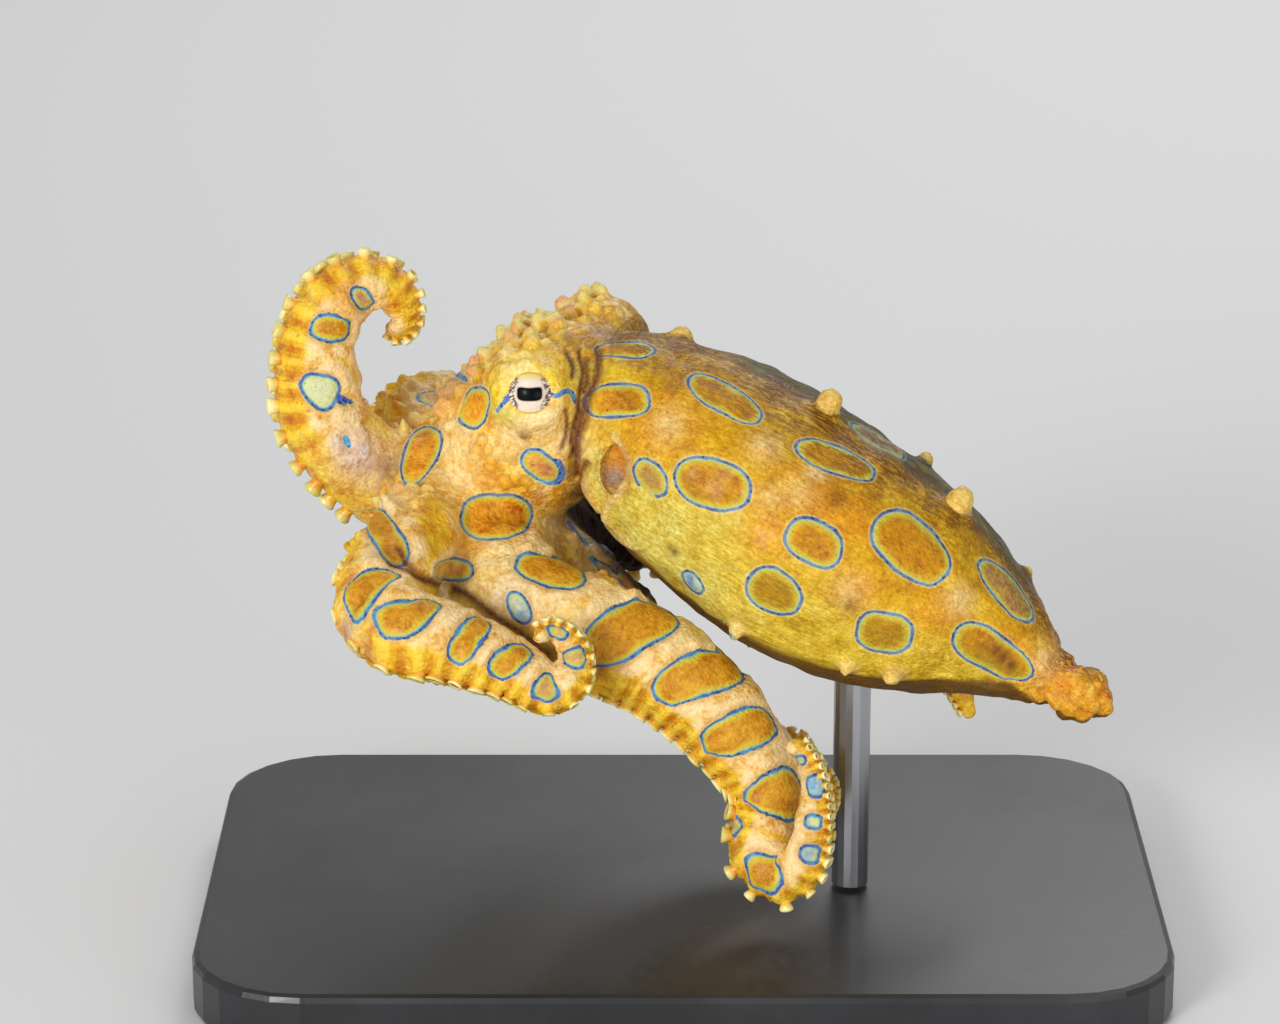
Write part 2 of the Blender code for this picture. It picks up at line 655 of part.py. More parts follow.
def build_head(parent):
    body = head_core()
    fuse(body, [lid(side) for side in EYES])
    fuse(body, [eyeball(side, EYE_RADIUS + GAP) for side in EYES], "DIFFERENCE")
    forward = head_axes()[0]
    cut_plane(body, head_cut() - forward * GAP / 2, forward)
    cut_plane(body, NECK_POINT, -unit(NECK_FACING))
    fuse(body, warts(body))
    fuse(body, [funnel_body(GAP)], "DIFFERENCE")
    finish(body, "head", "skin", parent)
    for side in EYES:
        finish(eyeball(side, EYE_RADIUS), f"eye_{side}", "eye", parent, roughness=0.1)


def build_crown(parent):
    body = head_core()
    forward, up, left = head_axes()
    cut_plane(body, head_cut() + forward * GAP / 2, -forward)
    pieces = []
    for arm in ARMS:
        end = ARMS[arm]["free"] / route_of(arm)[2]
        pieces.append(tube("stub", arm, 0.0, end))
        pieces.extend(suckers(arm, 0.0, end))
    fuse(body, pieces + [lips()])
    fuse(body, [ball("mouth", mouth_shape(GAP), 14, 10)], "DIFFERENCE")
    finish(body, "crown", "crown", parent)


def warts(body):
    """Low bumps at random places on the head's upper and outer skin, clear of eyes and cuts."""
    draw = np.random.default_rng(WART_SEED)
    bm = bmesh.new()
    bm.from_mesh(body.data)
    tree = BVHTree.FromBMesh(bm)
    bm.free()
    centre = place([HEAD_CENTRE])[0]
    eyes = place(list(EYES.values()))
    cuts = [(NECK_POINT, unit(NECK_FACING)), (head_cut(), unit(FORWARD))]
    cuts = [(place([point])[0], place([facing])[0] - place([(0, 0, 0)])[0]) for point, facing in cuts]
    made, spots = [], []
    while len(made) < WARTS:
        way, radius = unit(draw.normal(size=3)), draw.uniform(*WART_RADII)
        start = Vector((centre + way * HEAD_REACH) * MM)
        spot = tree.ray_cast(start, Vector(-way))[0]
        if spot is None:
            continue
        spot = np.array(spot) / MM
        clear = min(abs((spot - point) @ facing) for point, facing in cuts)
        apart = min([np.linalg.norm(spot - other) for other in spots], default=HEAD_REACH)
        from_eyes = np.linalg.norm(eyes - spot, axis=1).min()
        low = way[2] < WART_LOWEST
        if low or clear < radius + GAP or apart < WART_SPACING or from_eyes < EYE_RADIUS + 1.6:
            continue
        spots.append(spot)
        bump = bmesh.new()
        bmesh.ops.create_uvsphere(bump, u_segments=6, v_segments=4, radius=radius * MM)
        bmesh.ops.translate(bump, verts=bump.verts, vec=Vector(spot * MM))
        made.append(object_of("wart", bump))
    return made


# Funnel
def funnel_axes():
    look = unit(FUNNEL_LOOKS)
    across = unit(np.cross(look, (0, 1, 0)))
    return np.array((across, np.cross(across, look), look))


def funnel_body(swell=0.0):
    """The funnel's lobe before its cup, grown by a margin."""
    halves = np.array(FUNNEL_HALF) + swell
    return ball("funnel", ellipsoid(FUNNEL_CENTRE, funnel_axes(), halves), 18, 12)


def build_funnel(parent):
    body = funnel_body()
    axes = funnel_axes()
    cup = ellipsoid(np.array(FUNNEL_CENTRE) + np.array(FUNNEL_CUP_AT) @ axes, axes, FUNNEL_CUP_HALF)
    fuse(body, [ball("cup", cup, 16, 10)], "DIFFERENCE")
    finish(body, "funnel", "funnel", parent)


# Mouth
def mouth_shape(swell=0.0):
    """A round mouth with a short beak, at the middle of the crown's front."""
    forward, up, left = head_axes()
    centre = np.array(CROWN_CENTRE) + forward * (CROWN_HALF_DEPTH - 0.5)

    def shape(unit_ball):
        ahead = unit_ball[:, 0]
        point = np.where(ahead > 0, 1.0 - 0.35 * ahead ** 2, 1.0)
        local = np.stack([ahead * 1.15, unit_ball[:, 1] * point, unit_ball[:, 2] * point], axis=1)
        return centre + (local * (MOUTH_RADIUS + swell)) @ np.array((forward, up, left))

    return shape


def lips():
    """The round lip about the mouth, on the crown."""
    forward = head_axes()[0]
    return ring(np.array(CROWN_CENTRE) + forward * (CROWN_HALF_DEPTH - 0.15), forward,
                MOUTH_RADIUS + GAP + LIP_THICKNESS * 0.6, LIP_THICKNESS)


def build_mouth(parent):
    finish(ball("mouth", mouth_shape(), 14, 10), "mouth", "mouth", parent, roughness=0.3)


# Stand
def build_stand(parent):
    width, depth, height = BASE_SIZE
    bpy.ops.mesh.primitive_cube_add(size=1.0, location=(0, 0, height / 2 * MM))
    base = bpy.context.object
    base.data.transform(Matrix.Diagonal((width * MM, depth * MM, height * MM, 1.0)))
    weights = base.data.attributes.new("bevel_weight_edge", "FLOAT", "EDGE")
    for edge in base.data.edges:
        a, b = (base.data.vertices[i].co for i in edge.vertices)
        weights.data[edge.index].value = float(abs(a.z - b.z) > height / 2 * MM)
    rounds = (("corners", BASE_CORNER, 6, "WEIGHT"), ("rims", BASE_EDGE, 2, "ANGLE"))
    for name, radius, segments, limit in rounds:
        bevel = base.modifiers.new(name, "BEVEL")
        bevel.width, bevel.segments = radius * MM, segments
        bevel.limit_method, bevel.angle_limit = limit, math.radians(60)
    for collection in list(base.users_collection):
        collection.objects.unlink(base)
    finish(base, "stand_base", "base", parent, roughness=0.3)

    foot = height + GAP
    bm = bmesh.new()
    bmesh.ops.create_cone(
        bm, segments=16, cap_ends=True, radius1=ROD_RADIUS * MM, radius2=ROD_RADIUS * MM,
        depth=(LIFT - foot) * MM)
    middle = Vector((*ROD_AT, (LIFT + foot) / 2))
    bmesh.ops.translate(bm, verts=bm.verts, vec=middle * MM)
    rod = object_of("stand_rod", bm)
    fuse(rod, [ball("hollow", mantle_shape(GAP), 26, 22)], "DIFFERENCE")
    finish(rod, "stand_rod", "rod", parent, metallic=1.0, roughness=0.3)


def main():
    clear_scene()
    model = bpy.data.collections.new("octopus")
    bpy.context.scene.collection.children.link(model)
    whole = bpy.data.objects.new("octopus", None)
    model.objects.link(whole)
    build_mantle(whole)
    build_head(whole)
    build_crown(whole)
    build_mouth(whole)
    build_funnel(whole)
    build_arms(whole)
    build_stand(whole)


main()
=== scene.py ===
import math

import bpy
import numpy as np
from mathutils import Matrix, Vector, noise
from mathutils.bvhtree import BVHTree


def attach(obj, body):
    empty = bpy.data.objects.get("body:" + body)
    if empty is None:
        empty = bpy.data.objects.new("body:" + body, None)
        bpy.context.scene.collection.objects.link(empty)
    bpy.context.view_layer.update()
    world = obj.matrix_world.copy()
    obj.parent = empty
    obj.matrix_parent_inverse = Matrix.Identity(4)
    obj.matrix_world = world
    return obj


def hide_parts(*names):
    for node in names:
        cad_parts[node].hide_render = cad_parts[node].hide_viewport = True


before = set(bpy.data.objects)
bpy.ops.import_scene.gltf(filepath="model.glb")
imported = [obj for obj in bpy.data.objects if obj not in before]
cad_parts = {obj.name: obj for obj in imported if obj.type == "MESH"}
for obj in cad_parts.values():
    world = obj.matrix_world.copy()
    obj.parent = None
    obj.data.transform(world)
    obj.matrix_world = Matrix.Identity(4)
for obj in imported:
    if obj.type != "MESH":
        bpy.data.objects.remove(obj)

bl_info = {
    "name": "Blue ringed octopus",
    "version": (1, 0, 0),
    "blender": (4, 5, 0),
    "location": "View3D > Sidebar > Octopus",
    "description": "Dresses the packed model of a blue ringed octopus: skin, suckers, eyes, beak and stand",
    "category": "Object",
}

# Sizes are in millimetres in the pose's own axes: right (towards the mantle's tip), up and away
# (to the animal's right-hand side). place() leans them over and lifts them onto the stand.
MM = 0.001
LEAN = math.radians(18.0)
SHIFT_X, SHIFT_Y, LIFT = -3.0, -2.0, 31.6

# The photograph's view: its frame, and how much of the pose one of its pixels spans
PHOTO_SIZE = (1280, 1024)
PIXEL = 0.07
CAMERA_AWAY = 320.0
SENSOR = 36.0

# Mantle
MANTLE_START = (-4.0, 6.5, 1.5)
MANTLE_TIP = (32.7, -13.4, -5.0)
MANTLE_UP = (0.472, 0.8816, 0.0)
MANTLE_WIDTH = 1.04
MANTLE_STATIONS = (
    (-0.045, 3.0, 2.6), (0.0, 5.0, 2.1), (0.085, 6.5, 1.5), (0.17, 7.8, 1.3), (0.30, 8.6, 0.8),
    (0.43, 8.75, 0.35), (0.55, 8.15, 0.2), (0.66, 6.85, 0.45), (0.78, 4.45, 0.3),
    (0.86, 2.55, -0.1), (0.90, 1.6, -0.4), (0.955, 1.85, -0.2), (1.0, 1.1, -0.1),
)
MANTLE_KEEL = 0.45
KEEL_ANGLE = math.radians(144.0)
# Share of the length, degrees from the back towards the left side, radius and height
PAPILLAE = (
    (0.075, -6, 0.95, 0.9), (0.365, 28, 0.9, 1.4), (0.6275, 31, 0.97, 1.3), (0.53, -10, 0.55, 1.1),
    (0.767, -14, 0.45, 0.8), (0.33, -34, 0.8, 1.3), (0.4085, 150, 0.6, 1.0), (0.5975, 144, 0.42, 0.75),
    (0.6675, 141, 0.55, 0.95), (0.4085, -150, 0.6, 1.0), (0.66, -141, 0.5, 0.9),
)

# Head, crown of arms, eyes, funnel
HEAD_CENTRE = (-7.8, 5.8, 2.2)
HEAD_HALF = (8.0, 6.2, 6.9)
FORWARD = (-0.66, -0.58, 0.47)
DORSAL = (-0.593, 0.791, 0.148)
CROWN_CENTRE = (-11.6, -0.6, 3.3)
CROWN_RADIUS = 8.3
CROWN_HALF_DEPTH = 4.6
NECK_RADIUS, NECK_WIDER, NECK_HALF_LENGTH = 5.6, 0.6, 6.5
NECK_AHEAD, NECK_ABOVE = 1.5, 0.9
MOUTH_RADIUS = 1.7
LIP_THICKNESS, LIP_SUNK, LIP_WIDER = 0.6, 0.15, 0.3
EYE_RADIUS = 1.95
EYE_SWELLING = 3.9
EYE_DEPTH = 2.4
EYES = {"left": (-7.5, 8.2, -5.0), "right": (-3.3, 12.9, 7.3)}
EYE_LOOKS = {"left": (-0.035, -0.03, -1.0), "right": (-0.08, 0.50, 0.86)}
EYE_SLOT = (0.84, 0.53)
EYE_SLOT_SAG = 0.2
EYE_SLOT_SQUARENESS = 3.6
EYE_BULGE = 0.04
LID_THICKNESS, LID_AHEAD, LID_WIDER = 0.45, 0.95, 0.1
FUNNEL_CENTRE = (-2.3, 2.9, -3.5)
FUNNEL_LOOKS = (0.12, -0.04, -0.99)
FUNNEL_HALF = (1.6, 2.7, 2.6)
FUNNEL_CUP_HALF = (1.1, 1.9, 1.3)
FUNNEL_CUP_AT = (0.3, 0.0, 2.7)
MARGIN = ((-1.9, 5.4), (-0.9, 4.3), (-0.4, 2.9), (-0.9, 1.6), (-1.9, 0.5), (-2.0, -0.5),
          (-1.2, -1.6), (0.3, -2.9))
MARGIN_RADIUS = 0.4

# Arms: the angle about the mouth, how far ahead and how far along it is free of the web, its
# radii, the axis that it curls about, and its route
ROOT_REACHES = (4.0, 8.0)
ROLL_BEGINS, ROLL_ENDS = 0.08, 0.5
TAPER = 1.5
ARMS = {
    "left_1": {
        "angle": 32, "ahead": 2.0, "free": 6.0, "root": 3.2, "tip": 0.55, "fullness": 3.1,
        "hinge": (0, 0, -1),
        "route": ((-21.9, 6.0, 0.2), (-22.6, 9.2, -0.5), (-22.5, 12.1, -1.0), (-21.6, 14.3, -1.2),
                  (-20.0, 15.7, -1.2), (-18.2, 16.0, -0.9), (-16.9, 15.1, -0.4), (-16.4, 13.7, 0.4),
                  (-16.9, 12.8, 1.8), (-17.9, 13.1, 3.2)),
    },
    "left_2": {
        "angle": 88, "ahead": 0.0, "free": 7.0, "root": 3.3, "tip": 0.5, "fullness": 3.1,
        "hinge": (0, 0, 1),
        "route": ((-16.7, -4.0, -7.5), (-17.6, -6.4, -10.3), (-15.9, -8.1, -12.1), (-13.3, -8.8, -12.4),
                  (-10.8, -9.7, -12.3), (-8.4, -10.8, -12.0), (-6.3, -12.0, -12.0), (-4.7, -11.4, -12.0),
                  (-4.3, -9.8, -12.1), (-5.0, -8.4, -12.4), (-6.2, -7.9, -12.9), (-7.1, -8.5, -13.5)),
    },
    "left_3": {
        "angle": 140, "ahead": -1.5, "free": 12.5, "root": 4.0, "tip": 0.6, "fullness": 2.4,
        "hinge": (0.2, 0.3, 0.9),
        "route": ((-6.0, -7.4, -4.7), (-2.4, -8.8, -5.0), (1.0, -10.4, -5.0), (4.1, -12.7, -5.0),
                  (6.4, -15.2, -5.0), (8.1, -17.6, -5.0), (8.8, -19.8, -5.2), (8.4, -21.8, -5.6),
                  (8.3, -23.6, -6.3), (9.6, -25.0, -7.2), (11.0, -24.2, -8.1), (11.7, -22.4, -8.9),
                  (11.9, -20.6, -9.6), (11.9, -18.8, -10.0), (11.4, -16.9, -10.3), (10.2, -15.4, -10.6)),
    },
    "left_4": {
        "angle": 172, "ahead": -1.0, "free": 8.8, "root": 3.0, "tip": 0.5, "fullness": 3.0,
        "hinge": (0, 0, 1),
        "route": ((-4.0, -8.9, 2.0), (-1.0, -10.3, 3.0), (1.8, -12.0, 3.4), (4.6, -14.2, 3.4),
                  (6.8, -16.8, 3.2), (8.4, -19.4, 2.8), (10.0, -21.5, 2.2), (12.0, -21.6, 1.8),
                  (13.0, -19.8, 1.8), (12.3, -18.0, 2.4), (10.8, -17.6, 3.4)),
    },
    "right_4": {
        "angle": -146, "ahead": -1.0, "free": 10.0, "root": 3.0, "tip": 0.5, "fullness": 2.8,
        "hinge": (0, 0, 1),
        "route": ((-1.6, -7.8, 9.8), (1.4, -11.0, 11.6), (4.4, -14.2, 12.0), (6.9, -17.2, 11.6),
                  (9.0, -19.3, 11.0), (11.0, -19.4, 10.8), (12.0, -17.9, 11.2), (11.2, -16.5, 12.0),
                  (9.8, -16.6, 12.6)),
    },
    "right_3": {
        "angle": -106, "ahead": -1.0, "free": 9.8, "root": 3.1, "tip": 0.55, "fullness": 4.4,
        "hinge": (0, 0, 1),
        "route": ((-1.4, -1.2, 13.6), (3.2, -0.8, 14.4), (7.8, -1.8, 14.4), (12.0, -4.0, 13.8),
                  (16.0, -6.6, 12.8), (19.6, -8.8, 11.6), (22.0, -11.0, 10.6), (23.2, -13.2, 10.0),
                  (24.0, -15.0, 9.6)),
    },
    "right_2": {
        "angle": -66, "ahead": 0.0, "free": 8.0, "root": 3.1, "tip": 0.5, "fullness": 2.6,
        "hinge": (0, 1, 0),
        "route": ((-9.6, 2.4, 17.0), (-9.0, 1.0, 21.2), (-6.4, 0.6, 24.0), (-3.2, 1.0, 23.8),
                  (-1.8, 1.6, 21.2), (-3.2, 2.0, 19.0), (-5.2, 2.2, 19.4)),
    },
    "right_1": {
        "angle": -24, "ahead": 2.2, "free": 9.5, "root": 3.0, "tip": 0.5, "fullness": 2.6,
        "hinge": (0, 1, 0),
        "route": ((-16.0, 7.0, 13.4), (-15.0, 7.8, 17.6), (-12.2, 8.4, 20.2), (-8.8, 8.8, 20.2),
                  (-6.8, 9.0, 17.8), (-7.6, 9.2, 15.6), (-9.6, 9.2, 15.8)),
    },
}
ARM_SAMPLES = 180
ARM_STEP = 0.35
SUCKER_START = 3.5
SUCKER_ROWS = math.radians(30.0)
SUCKER_LEAN = math.radians(12.0)
SUCKER_SHARE, SUCKER_LEAST, SUCKER_MOST = 0.28, 0.3, 0.68
# Height over the rim's radius, how much less it is for the largest, and the pitch in rims
SUCKER_HEIGHT, SUCKER_HEIGHT_DROP = 1.35, 0.45
SUCKER_SPACING = 1.06
SUCKER_SIDES = 10
# Rise and radius of a sucker's profile over its rim, from its foot to the hollow, and the number
# of its steps before the hollow
SUCKER_PROFILE = (
    (-0.5, 0.84), (0.15, 0.72), (0.5, 0.84), (0.86, 1.0), (1.06, 0.92), (1.02, 0.74), (0.78, 0.46),
)
HOLLOW_STEP = 5
LAST_SUCKER = 0.985
# Where an arm's suckers stand taller or lower than the rest: from and to (mm along it), height share
SUCKER_HEIGHTS = {"left_1": (3, 26, 1.25), "left_2": (6, 27, 0.6), "left_3": (6, 29, 0.55)}

# Ring marks that the photograph shows: the pixel at the middle, long and short size (mm), degrees
# of turn (clockwise), squareness (2 is an ellipse), how much the far end of the long side narrows,
# and how much pale blue fills the ring
SEEN_RINGS = (
    (625, 350, 4.13, 1.05, 3, 2.2, 0.0, 0), (617, 401, 4.48, 2.31, -4, 2.9, -0.05, 0),
    (725, 399, 5.81, 1.96, 30, 2.5, 0.0, 0), (835, 460, 5.81, 1.82, 22, 2.4, 0.08, 0),
    (713, 484, 5.53, 3.5, 16, 2.2, 0.0, 0), (651, 478, 3.01, 1.89, 52, 2.1, 0.0, 0.1),
    (814, 542, 4.27, 3.01, 32, 2.3, 0.0, 0), (912, 548, 6.23, 3.78, 41, 2.4, 0.1, 0),
    (775, 591, 4.13, 2.87, 30, 2.3, 0.08, 0), (693, 583, 1.89, 0.91, 48, 2.3, 0.0, 1),
    (884, 632, 3.92, 2.73, 8, 2.7, 0.0, 0), (1006, 591, 5.46, 1.75, 52, 2.3, 0.0, 0.1),
    (994, 653, 6.09, 2.66, 30, 2.3, 0.25, 0), (878, 441, 4.34, 0.91, 31, 2.2, 0.0, 0.3),
    (474, 408, 3.01, 1.89, 112, 2.5, -0.1, 0), (420, 456, 4.34, 2.31, 114, 2.2, 0.2, 0),
    (497, 516, 4.9, 3.15, -2, 2.5, 0.12, 0), (541, 466, 2.87, 1.75, 32, 2.3, 0.0, 0.1),
    (453, 570, 2.66, 1.54, -2, 2.3, 0.0, 0.1), (387, 537, 4.34, 2.03, 56, 2.4, 0.0, 0),
    (550, 571, 5.04, 2.03, 16, 2.4, 0.05, 0), (519, 608, 2.38, 1.33, 64, 2.3, 0.0, 0.9),
    (614, 577, 3.36, 0.77, 42, 2.2, 0.0, 0.4),
)
# Lines of blue and folds: kind, half width (mm) and the pixels that they run through
SEEN_LINES = (
    ("blue", 0.06, ((548, 394), (557, 396), (563, 392), (569, 391), (574, 396), (576, 402))),
    ("blue", 0.1, ((511, 395), (505, 401))),
    ("blue", 0.02, ((505, 401), (497, 411))),
    ("blue", 0.05, ((569, 522), (577, 534), (587, 544))),
    ("blue", 0.1, ((592, 558), (600, 564))),
    ("blue", 0.08, ((459, 375), (466, 380))),
    ("blue", 0.06, ((335, 393), (343, 398), (352, 402))),
    ("blue", 0.05, ((337, 400), (345, 404))),
    ("blue", 0.1, ((346, 438), (349, 445))),
    ("blue", 0.12, ((558, 461), (562, 470), (560, 479), (551, 482), (541, 479))),
    ("blue", 0.06, ((525, 464), (524, 457), (532, 451), (543, 452))),
    ("fold", 0.34, ((600, 350), (597, 375), (589, 395), (584, 415), (577, 440), (576, 475))),
    ("fold", 0.2, ((568, 352), (574, 366), (573, 377))),
    ("fold", 0.22, ((579, 350), (583, 370), (581, 391), (580, 411), (575, 427), (572, 443))),
    ("fold", 0.2, ((588, 358), (588, 376), (585, 392))),
    ("fold", 0.2, ((584, 417), (578, 439), (571, 459))),
    ("fold", 0.18, ((566, 410), (568, 430), (562, 448))),
    ("fold", 0.34, ((391, 563), (413, 572), (440, 586), (462, 592), (487, 612), (520, 634), (545, 655))),
    ("fold", 0.25, ((398, 548), (408, 562), (420, 575))),
    ("fold", 0.25, ((586, 462), (582, 480), (586, 498), (598, 514), (608, 526))),
    ("rim", 0.2, ((612, 436), (620, 446), (628, 462), (627, 478), (618, 492), (608, 506), (608, 520),
                  (618, 534), (640, 547))),
    ("rim", 0.18, ((590, 448), (584, 460), (583, 476), (589, 494), (600, 510))),
    # Painted shade: the cleft darkens whatever lies behind the web along this line
    ("cleft", 0.8, ((580, 507), (598, 527), (619, 553), (640, 572), (664, 596))),
)
# Patches of another tint: for each kind, strength, radius (mm) and pixel
SEEN_TINTS = {
    "cream": (
        (0.9, 2.0, (545, 425)), (0.8, 1.7, (515, 437)), (0.75, 2.0, (452, 440)), (0.7, 1.8, (458, 478)),
        (0.9, 1.2, (552, 527)), (0.9, 1.2, (540, 548)), (0.8, 1.6, (500, 558)), (0.8, 2.0, (498, 590)),
        (1.0, 1.6, (620, 600)), (0.9, 1.5, (560, 603)), (0.8, 1.3, (398, 505)), (0.5, 1.3, (668, 424)),
        (0.8, 1.6, (375, 562)), (0.9, 1.2, (418, 590)), (0.8, 1.4, (520, 370)), (0.7, 1.2, (590, 545)),
        (0.8, 1.4, (460, 380)), (0.7, 0.8, (816, 472)), (0.5, 1.2, (766, 448)), (0.6, 1.1, (960, 600)),
        (0.4, 1.2, (800, 492)), (0.4, 1.2, (850, 592)), (0.6, 1.2, (1046, 662)), (0.4, 1.0, (772, 496)),
        (0.8, 1.2, (530, 425)), (0.9, 1.2, (562, 440)),
    ),
    "green": (
        (0.9, 2.6, (655, 548)), (0.85, 2.2, (632, 532)), (0.5, 3.4, (720, 615)), (0.6, 2.2, (640, 500)),
        (0.5, 2.4, (480, 578)), (0.5, 1.6, (720, 520)), (1.0, 1.0, (594, 458)), (1.0, 1.1, (592, 474)),
        (1.0, 1.0, (597, 492)), (1.0, 2.4, (640, 540)), (1.0, 2.4, (668, 560)), (1.0, 2.4, (700, 590)),
        (0.9, 2.2, (668, 528)), (0.8, 1.8, (622, 512)),
    ),
    "yellow": (
        (1.0, 1.9, (515, 372)), (1.0, 2.0, (556, 374)), (0.9, 1.5, (500, 392)), (0.9, 1.3, (570, 405)),
        (0.8, 1.5, (615, 370)), (0.5, 1.6, (540, 355)), (1.0, 1.6, (535, 362)),
    ),
    "orange": (
        (0.8, 1.6, (452, 400)), (0.8, 1.8, (470, 552)), (0.6, 2.4, (480, 478)), (0.8, 1.4, (404, 420)),
        (0.9, 2.0, (772, 535)), (0.7, 2.2, (848, 510)), (0.8, 1.6, (860, 595)), (0.9, 1.8, (932, 616)),
        (0.8, 3.0, (1046, 684)), (0.5, 2.2, (690, 415)), (0.6, 2.0, (650, 440)), (0.7, 1.4, (540, 500)),
        (0.6, 1.6, (1010, 640)), (0.5, 2.2, (760, 500)), (0.6, 1.4, (345, 300)), (1.0, 1.0, (608, 456)),
        (1.0, 1.1, (606, 474)), (1.0, 0.9, (605, 498)),
    ),
    # Brown: mostly brown skin; the patches at (582, 488), (574, 508), (575, 492), (580, 514) and (572, 470)
    # are painted shade between the head and the funnel
    "brown": (
        (0.9, 1.0, (582, 488)), (0.9, 1.0, (574, 508)), (0.6, 1.0, (572, 340)), (0.5, 1.6, (590, 345)),
        (0.45, 1.6, (455, 386)), (0.6, 1.0, (387, 470)), (0.9, 0.4, (524, 434)), (0.9, 1.1, (548, 656)),
        (0.6, 0.8, (838, 497)), (0.5, 0.7, (850, 605)), (0.8, 0.55, (996, 650)), (0.9, 0.6, (1003, 657)),
        (0.9, 0.5, (1011, 664)), (0.7, 0.8, (598, 668)), (0.6, 0.9, (385, 556)), (0.6, 0.8, (522, 632)),
        (0.6, 1.7, (610, 337)), (0.6, 0.8, (612, 341)), (0.6, 0.8, (640, 338)), (0.8, 0.9, (575, 492)),
        (0.9, 0.9, (580, 514)), (0.7, 0.8, (572, 470)), (0.9, 0.35, (675, 552)), (0.9, 0.3, (671, 548)),
    ),
    # Painted shade: the first two darken the cleft left of the funnel, the last darkens the lilac spot in
    # the funnel's pit
    "shade": (
        (0.9, 0.7, (588, 508)), (0.7, 0.6, (584, 496)), (0.45, 0.55, (614, 477)),
    ),
    "lilac": (
        (1.0, 2.0, (360, 456)), (0.4, 1.4, (505, 602)), (0.6, 1.6, (348, 632)), (1.0, 0.5, (614, 477)),
        (0.5, 1.0, (604, 335)), (0.9, 1.1, (344, 444)), (0.7, 1.0, (782, 728)), (0.5, 0.8, (610, 340)),
    ),
    "lime": (
        (1.0, 0.9, (499, 396)), (0.9, 1.0, (502, 413)), (0.7, 1.0, (508, 376)), (0.7, 0.9, (560, 384)),
    ),
    "gap": (
        (1.0, 0.55, (643, 492)), (1.0, 0.5, (650, 499)), (1.0, 0.7, (459, 398)), (1.0, 0.6, (457, 410)),
    ),
}
# Knobs of skin: radius and height (mm) and pixel
SEEN_KNOBS = (
    (0.5, 0.55, (571, 538)), (0.45, 0.5, (632, 597)), (0.4, 0.4, (696, 646)), (0.35, 0.3, (524, 434)),
    (0.5, 0.4, (393, 401)), (0.45, 0.35, (408, 392)), (0.55, 0.4, (508, 352)), (0.45, 0.3, (452, 382)),
    (0.4, 0.3, (610, 560)), (0.4, 0.3, (548, 552)), (0.45, 0.35, (527, 549)), (0.35, 0.3, (1004, 675)),
    (0.4, 0.3, (766, 448)), (0.3, 0.25, (816, 470)), (1.1, -0.5, (607, 456)), (1.1, -0.55, (606, 480)),
    (0.9, -0.35, (604, 500)),
)

# Where the painted shade of the belly begins: share of the mantle's length, degrees from its back
BELLY_SHADE_EDGE = (
    (0.3, 157), (0.42, 154), (0.55, 149), (0.63, 147), (0.71, 141), (0.79, 133), (0.84, 126),
    (0.9, 150),
)

# Rings on the sides that the photograph doesn't show. On the mantle: share, degrees from the
# back, half length and half breadth
MANTLE_RINGS = (
    (0.16, -32, 2.6, 1.8), (0.38, -12, 2.6, 1.9), (0.30, -62, 2.9, 2.3), (0.50, -46, 3.2, 2.3),
    (0.66, -30, 2.5, 1.7), (0.46, -86, 2.4, 2.0), (0.64, -72, 2.6, 1.9), (0.80, -58, 2.2, 1.3),
    (0.16, -78, 2.4, 1.9), (0.28, -104, 2.2, 1.8), (0.60, -108, 2.2, 1.6), (0.76, -110, 2.3, 1.4),
    (0.30, 168, 1.6, 1.2), (0.52, -160, 1.7, 1.2), (0.68, 172, 1.5, 1.0),
)
# On the head: direction from its centre in the pose's axes, half length and half breadth
HEAD_RINGS = (
    ((-0.2, 0.75, 0.55), 1.9, 1.3), ((-0.75, 0.5, 0.75), 2.1, 1.5), ((-0.3, 0.1, 1.0), 2.2, 1.6),
    ((0.2, -0.4, 1.0), 1.8, 1.2), ((-0.55, -0.25, 0.95), 1.8, 1.3), ((-0.7, 0.75, 0.1), 1.8, 1.2),
)
